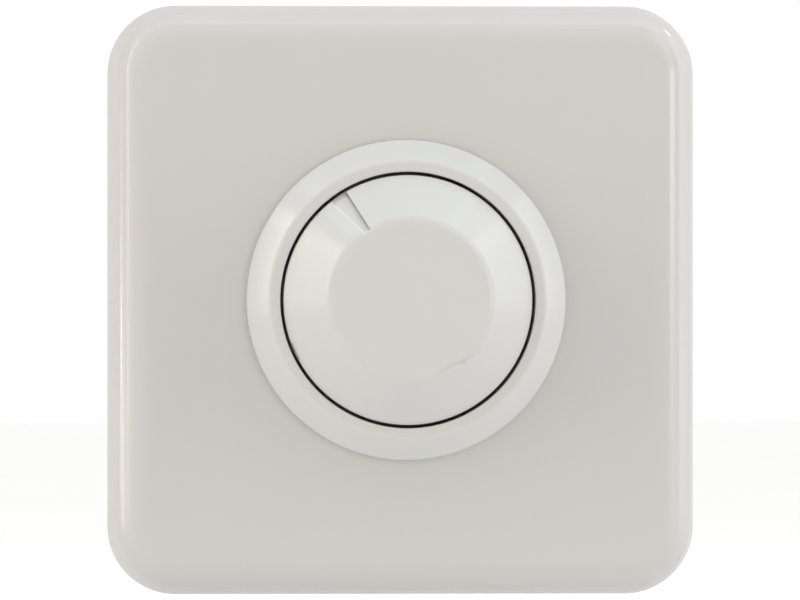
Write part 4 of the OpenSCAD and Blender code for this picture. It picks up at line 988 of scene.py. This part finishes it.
class DIMMER_OT_threads(bpy.types.Operator):
    """Makes the claw screws, the frame's screws and the bush with real threads"""

    bl_idname = "dimmer.threads"
    bl_label = "Threads"

    def execute(self, context):
        for side in ("left", "right"):
            node = f"{side}_claw_screw"
            low, high = box_of(node)
            centre = ((low[0] + high[0]) / 2, (low[2] + high[2]) / 2)
            r, head_r, end, top = 1.6 * MM, radius_of(node), back_of(node), front_of(node)
            ball = top - 1 * MM
            neck = ball - math.sqrt(head_r**2 - r**2)
            bend = np.linspace(math.asin(r / head_r), math.pi / 2 + math.asin(1 * MM / head_r) - 0.05, 14)
            round_head = np.stack([head_r * np.sin(bend), ball - head_r * np.cos(bend)], 1)
            shank = rounded([(0, end, 0), (r - 0.4 * MM, end, 0.1 * MM), (r, end + 0.6 * MM, 0), (r, neck, 0)], 3)
            shank = filled(shank, 0.06 * MM)
            shank[np.abs(shank[:, 0] - r) < 1e-6, 0] = r
            rim = np.array([[round_head[-1, 0] - 0.05 * MM, top - 0.02 * MM], [round_head[-1, 0] - 0.16 * MM, top]])
            outside = np.concatenate([shank, round_head, rim])
            thread = (r, 0.6 * MM, 0.24 * MM, end + 0.3 * MM, neck - 0.5 * MM)
            grid = screw(outside, thread, (1.95 * MM, 0.4 * MM, 0.7 * MM), centre)
            piece(f"{node}_whole", [grid], f"claw_{side}", FINISH["screw"], [node], 40)

        low, high = box_of("housing_screws")
        r, head_r, top, end = 1.1 * MM, 2.2 * MM, front_of("housing_screws"), back_of("housing_screws")
        reach = np.array([high[0] - head_r, high[2] - head_r])
        under = top - 1.4 * MM
        shank = filled(rounded([(0, end, 0), (r, end + 1.6 * MM, 0), (r, under, 0)], 3), 0.1 * MM)
        shank[np.abs(shank[:, 0] - r) < 1e-6, 0] = r
        head = rounded([(r, under, 0), (head_r, under, 0.15 * MM), (head_r, top, 0.8 * MM), (1.62 * MM, top, 0)], 6)
        outside = np.concatenate([shank, head[1:]])
        thread = (r, 0.8 * MM, 0.26 * MM, end + 1.2 * MM, under - 1.3 * MM)
        corners = [(x, y) for x in (-1, 1) for y in (-1, 1)]
        grids = [screw(outside, thread, (1.54 * MM, 0.4 * MM, 0.7 * MM), reach * c, 48) for c in corners]
        name = "housing_screws"
        piece(f"{name}_whole", grids, "root", FINISH["screw"], [name], 40)

        name = "pot_bush"
        top, back, r, flange_r, bore = front_of(name), back_of(name), 5 * MM, radius_of(name), 3.05 * MM
        outside = rounded(
            [
                (bore, (top + back) / 2, 0),
                (bore, back, 0.1 * MM),
                (flange_r, back, 0.1 * MM),
                (flange_r, 0, 0.15 * MM),
                (r, 0, 0.1 * MM),
                (r, top - 0.5 * MM, 0),
                (r - 0.5 * MM, top, 0.1 * MM),
                (bore, top, 0.15 * MM),
                (bore, (top + back) / 2, 0),
            ],
            4,
        )
        profile = filled(outside, 0.1 * MM)
        profile[np.abs(profile[:, 0] - r) < 1e-6, 0] = r
        grid = threaded(profile, r, 0.75 * MM, 0.3 * MM, 1.2 * MM, top)
        piece(f"{name}_whole", [grid], "root", FINISH["bush"], [name], 40)
        return {"FINISHED"}


def helix_on_ring(centre, height, ring_r, wire_path_r, wire_r, turns, steps):
    """Wire wound on a ring: the point at (ring_r + w cos s) around the ring and w sin s across it, s = turns * around."""
    i = np.arange(turns * steps - steps // 2 + 1)
    around, section = 2 * math.pi * i / (turns * steps), 2 * math.pi * i / steps
    out = ring_r + wire_path_r * np.cos(section)
    path = out_of_wall(
        centre[0] + out * np.cos(around), centre[1] + out * np.sin(around), height + wire_path_r * np.sin(section)
    )
    side = out_of_wall(
        np.cos(section) * np.cos(around), np.cos(section) * np.sin(around), np.sin(section)
    )
    return tube_along(path, side, wire_r, 12)


class DIMMER_OT_wires(bpy.types.Operator):
    """Makes the choke's winding and the switch's spring as round wire"""

    bl_idname = "dimmer.wires"
    bl_label = "Winding and spring"

    def execute(self, context):
        low, high = box_of("choke_core")
        centre = ((low[0] + high[0]) / 2, (low[2] + high[2]) / 2)
        height = -(low[1] + high[1]) / 2
        winding = helix_on_ring(centre, height, 5.3 * MM, 2.95 * MM, 0.4 * MM, 16, 30)
        piece("choke_wire", [winding], "root", FINISH["winding"], ["choke_winding"], 60)

        low, high = box_of("switch_spring")
        wire_r, coils = 0.22 * MM, 5
        r = (high[0] - low[0]) / 2 - wire_r
        i = np.arange(coils * 32 + 1)
        t = 2 * math.pi * i / 32
        start, end = -high[1] + wire_r, -low[1] - wire_r
        rise = start + (end - start) * i / i[-1]
        path = out_of_wall(r * np.cos(t), r * np.sin(t), rise)
        side = out_of_wall(np.cos(t), np.sin(t), 0 * t)
        spring = piece(
            "switch_coil", [tube_along(path, side, wire_r, 12)], "root", FINISH["steel"], ["switch_spring"],
            60
        )
        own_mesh(spring)
        return {"FINISHED"}


# Lamps a metre from the dimmer: angle from straight in front and turn from the right in degrees, width away from the
# front and width around it in metres, and the colour that they show in a mirror, where 1 is white
LAMPS = {
    "left_front_strip": (59, 180, 0.15, 1.6, (0.8, 0.74, 0.65)),
    "left_inner_strip": (66, 180, 0.1, 1.6, (1.3, 1.24, 1.17)),
    "left_middle_strip": (73, 180, 0.09, 1.6, (2.7, 2.52, 2.29)),
    "left_bright_line": (70, 180, 0.03, 1.6, (7.5, 7.05, 6.45)),
    "left_outer_strip": (88, 180, 0.1, 1.6, (0.5, 0.45, 0.4)),
    "left_low_line": (98, 180.6, 0.05, 0.032, (60.0, 57.0, 52.0)),
    "left_low_panel": (88, 182.6, 0.22, 0.07, (7.0, 6.65, 6.1)),
    "right_front_strip": (35, 0, 0.1, 1.6, (0.4, 0.34, 0.24)),
    "right_bright_strip": (44, 0, 0.28, 1.6, (0.8, 0.78, 0.75)),
    "right_high_window": (43, 4.5, 0.28, 0.09, (3.4, 3.28, 3.1)),
    "right_side_panel": (77, 0, 0.28, 1.6, (1.44, 1.49, 1.57)),
    "right_outer_panel": (95, 0, 0.4, 1.6, (0.5, 0.54, 0.6)),
    "top_front_panel": (38, 90, 0.36, 1.6, (0.22, 0.23, 0.24)),
    "top_inner_strip": (70, 90, 0.12, 1.6, (1.8, 2.02, 2.3)),
    "top_middle_strip": (80, 90, 0.15, 1.6, (0.4, 0.62, 0.88)),
    "top_outer_panel": (96, 90, 0.35, 1.6, (0.44, 0.53, 0.62)),
    "upper_left_panel": (78, 135, 0.5, 0.5, (0.42, 0.49, 0.59)),
    "upper_right_panel": (78, 45, 0.5, 0.5, (0.54, 0.61, 0.71)),
    "lower_left_panel": (78, 225, 0.5, 0.5, (0.72, 0.7, 0.68)),
    "lower_right_panel": (78, 315, 0.5, 0.5, (0.62, 0.62, 0.6)),
    "corner_lamp": (96, 43.5, 0.035, 0.12, (55.0, 54.0, 52.0)),
}


def seen_directly(tree):
    """1 for rays from the camera, from a mirror or through glass, else 0."""
    paths = tree.nodes.new("ShaderNodeLightPath")
    last = paths.outputs["Is Camera Ray"]
    for name in ("Is Glossy Ray", "Is Transmission Ray"):
        node = tree.nodes.new("ShaderNodeMath")
        node.operation = "MAXIMUM"
        tree.links.new(last, node.inputs[0])
        tree.links.new(paths.outputs[name], node.inputs[1])
        last = node.outputs[0]
    return last


class DIMMER_OT_stage(bpy.types.Operator):
    """Makes the floor, the light and the camera"""

    bl_idname = "dimmer.stage"
    bl_label = "Stage"

    def execute(self, context):
        s = context.scene.dimmer_stage
        half = context.scene.dimmer_plate.width / 2
        scene = context.scene
        scene.view_settings.view_transform = "Standard"

        size, level = 6.0, -half - s.floor_gap
        mesh = bpy.data.meshes.new("floor")
        corners = [(-size, -size, level), (size, -size, level), (size, size, level), (-size, size, level)]
        mesh.from_pydata(corners, [], [(0, 1, 2, 3)])
        n = Nodes("floor_paint")
        pale = n.blend(n.ramp(n.noise(9.0, 3.0), 0.3, 0.7), (0.90, 0.90, 0.90), (0.93, 0.93, 0.93))
        lift = n.calculated("MULTIPLY", seen_directly(n.tree), s.lift)
        mesh.materials.append(
            n.finish(
                Base_Color=pale, Roughness=0.9, Specular_IOR_Level=0.1, Emission_Color=(1, 1, 1), Emission_Strength=lift
            )
        )
        floor = bpy.data.objects.new("floor", mesh)
        scene.collection.objects.link(floor)

        world = bpy.data.worlds.new("studio")
        world.use_nodes = True
        scene.world = world
        tree = world.node_tree
        tree.nodes.clear()
        white = tree.nodes.new("ShaderNodeBackground")
        white.inputs["Color"].default_value = (1, 1, 1, 1)
        lit = tree.nodes.new("ShaderNodeBackground")
        lit.inputs["Color"].default_value = (1.0, 0.995, 0.983, 1)
        lit.inputs["Strength"].default_value = s.ambient
        mixed = tree.nodes.new("ShaderNodeMixShader")
        tree.links.new(seen_directly(tree), mixed.inputs[0])
        tree.links.new(lit.outputs[0], mixed.inputs[1])
        tree.links.new(white.outputs[0], mixed.inputs[2])
        output = tree.nodes.new("ShaderNodeOutputWorld")
        tree.links.new(mixed.outputs[0], output.inputs["Surface"])

        for name, (polar, turn, across, around, shown) in LAMPS.items():
            p, t = math.radians(polar), math.radians(turn)
            away = (math.cos(p) * math.cos(t), math.sin(p), math.cos(p) * math.sin(t))
            round_it = (-math.sin(t), 0, math.cos(t))
            back = (math.sin(p) * math.cos(t), -math.cos(p), math.sin(p) * math.sin(t))
            light = bpy.data.lights.new(name, "AREA")
            light.shape, light.size, light.size_y = "RECTANGLE", across, around
            strongest = max(shown)
            light.energy = 4 * across * around * strongest * s.lamps
            light.color = [c / strongest for c in shown]
            holder = bpy.data.objects.new(name, light)
            scene.collection.objects.link(holder)
            holder.matrix_world = Matrix((away, round_it, back)).transposed().to_4x4()
            holder.location = back

        camera = bpy.data.cameras.new("camera")
        camera.lens, camera.sensor_width = s.lens, 36.0
        camera.clip_start, camera.clip_end = 0.01, 50
        holder = bpy.data.objects.new("camera", camera)
        scene.collection.objects.link(holder)
        holder.location = (-s.distance * math.sin(s.yaw) - s.aside, -s.distance * math.cos(s.yaw), 0)
        holder.rotation_euler = (math.pi / 2, 0, -s.yaw)
        scene.camera = holder
        return {"FINISHED"}


class DIMMER_PT_panel(bpy.types.Panel):
    """Lists the dimmer's pieces and sizes"""

    bl_idname = "DIMMER_PT_panel"
    bl_label = "Rotary dimmer"
    bl_space_type = "VIEW_3D"
    bl_region_type = "UI"
    bl_category = "Dimmer"

    def draw(self, context):
        for operator in OPERATORS:
            self.layout.operator(operator.bl_idname)
        for name, group in GROUPS.items():
            box = self.layout.box()
            box.label(text=group.__doc__)
            for field in group.__annotations__:
                box.prop(getattr(context.scene, name), field)


OPERATORS = [
    DIMMER_OT_finishes,
    DIMMER_OT_cover_plate,
    DIMMER_OT_trim_ring,
    DIMMER_OT_knob,
    DIMMER_OT_threads,
    DIMMER_OT_wires,
    DIMMER_OT_stage,
]
CLASSES = [*GROUPS.values(), *OPERATORS, DIMMER_PT_panel]


def register():
    """Registers the classes and hangs the size groups on the scene."""
    for item in CLASSES:
        bpy.utils.register_class(item)
    for name, group in GROUPS.items():
        setattr(bpy.types.Scene, name, bpy.props.PointerProperty(type=group))


def unregister():
    """Takes the groups and classes away again."""
    for name in GROUPS:
        delattr(bpy.types.Scene, name)
    for item in reversed(CLASSES):
        bpy.utils.unregister_class(item)


def main():
    """Makes the finishes, the pieces and the stage in order."""
    register()
    bpy.ops.dimmer.finishes()
    bpy.ops.dimmer.cover_plate()
    bpy.ops.dimmer.trim_ring()
    bpy.ops.dimmer.knob()
    bpy.ops.dimmer.threads()
    bpy.ops.dimmer.wires()
    bpy.ops.dimmer.stage()


if __name__ == "__main__":
    main()
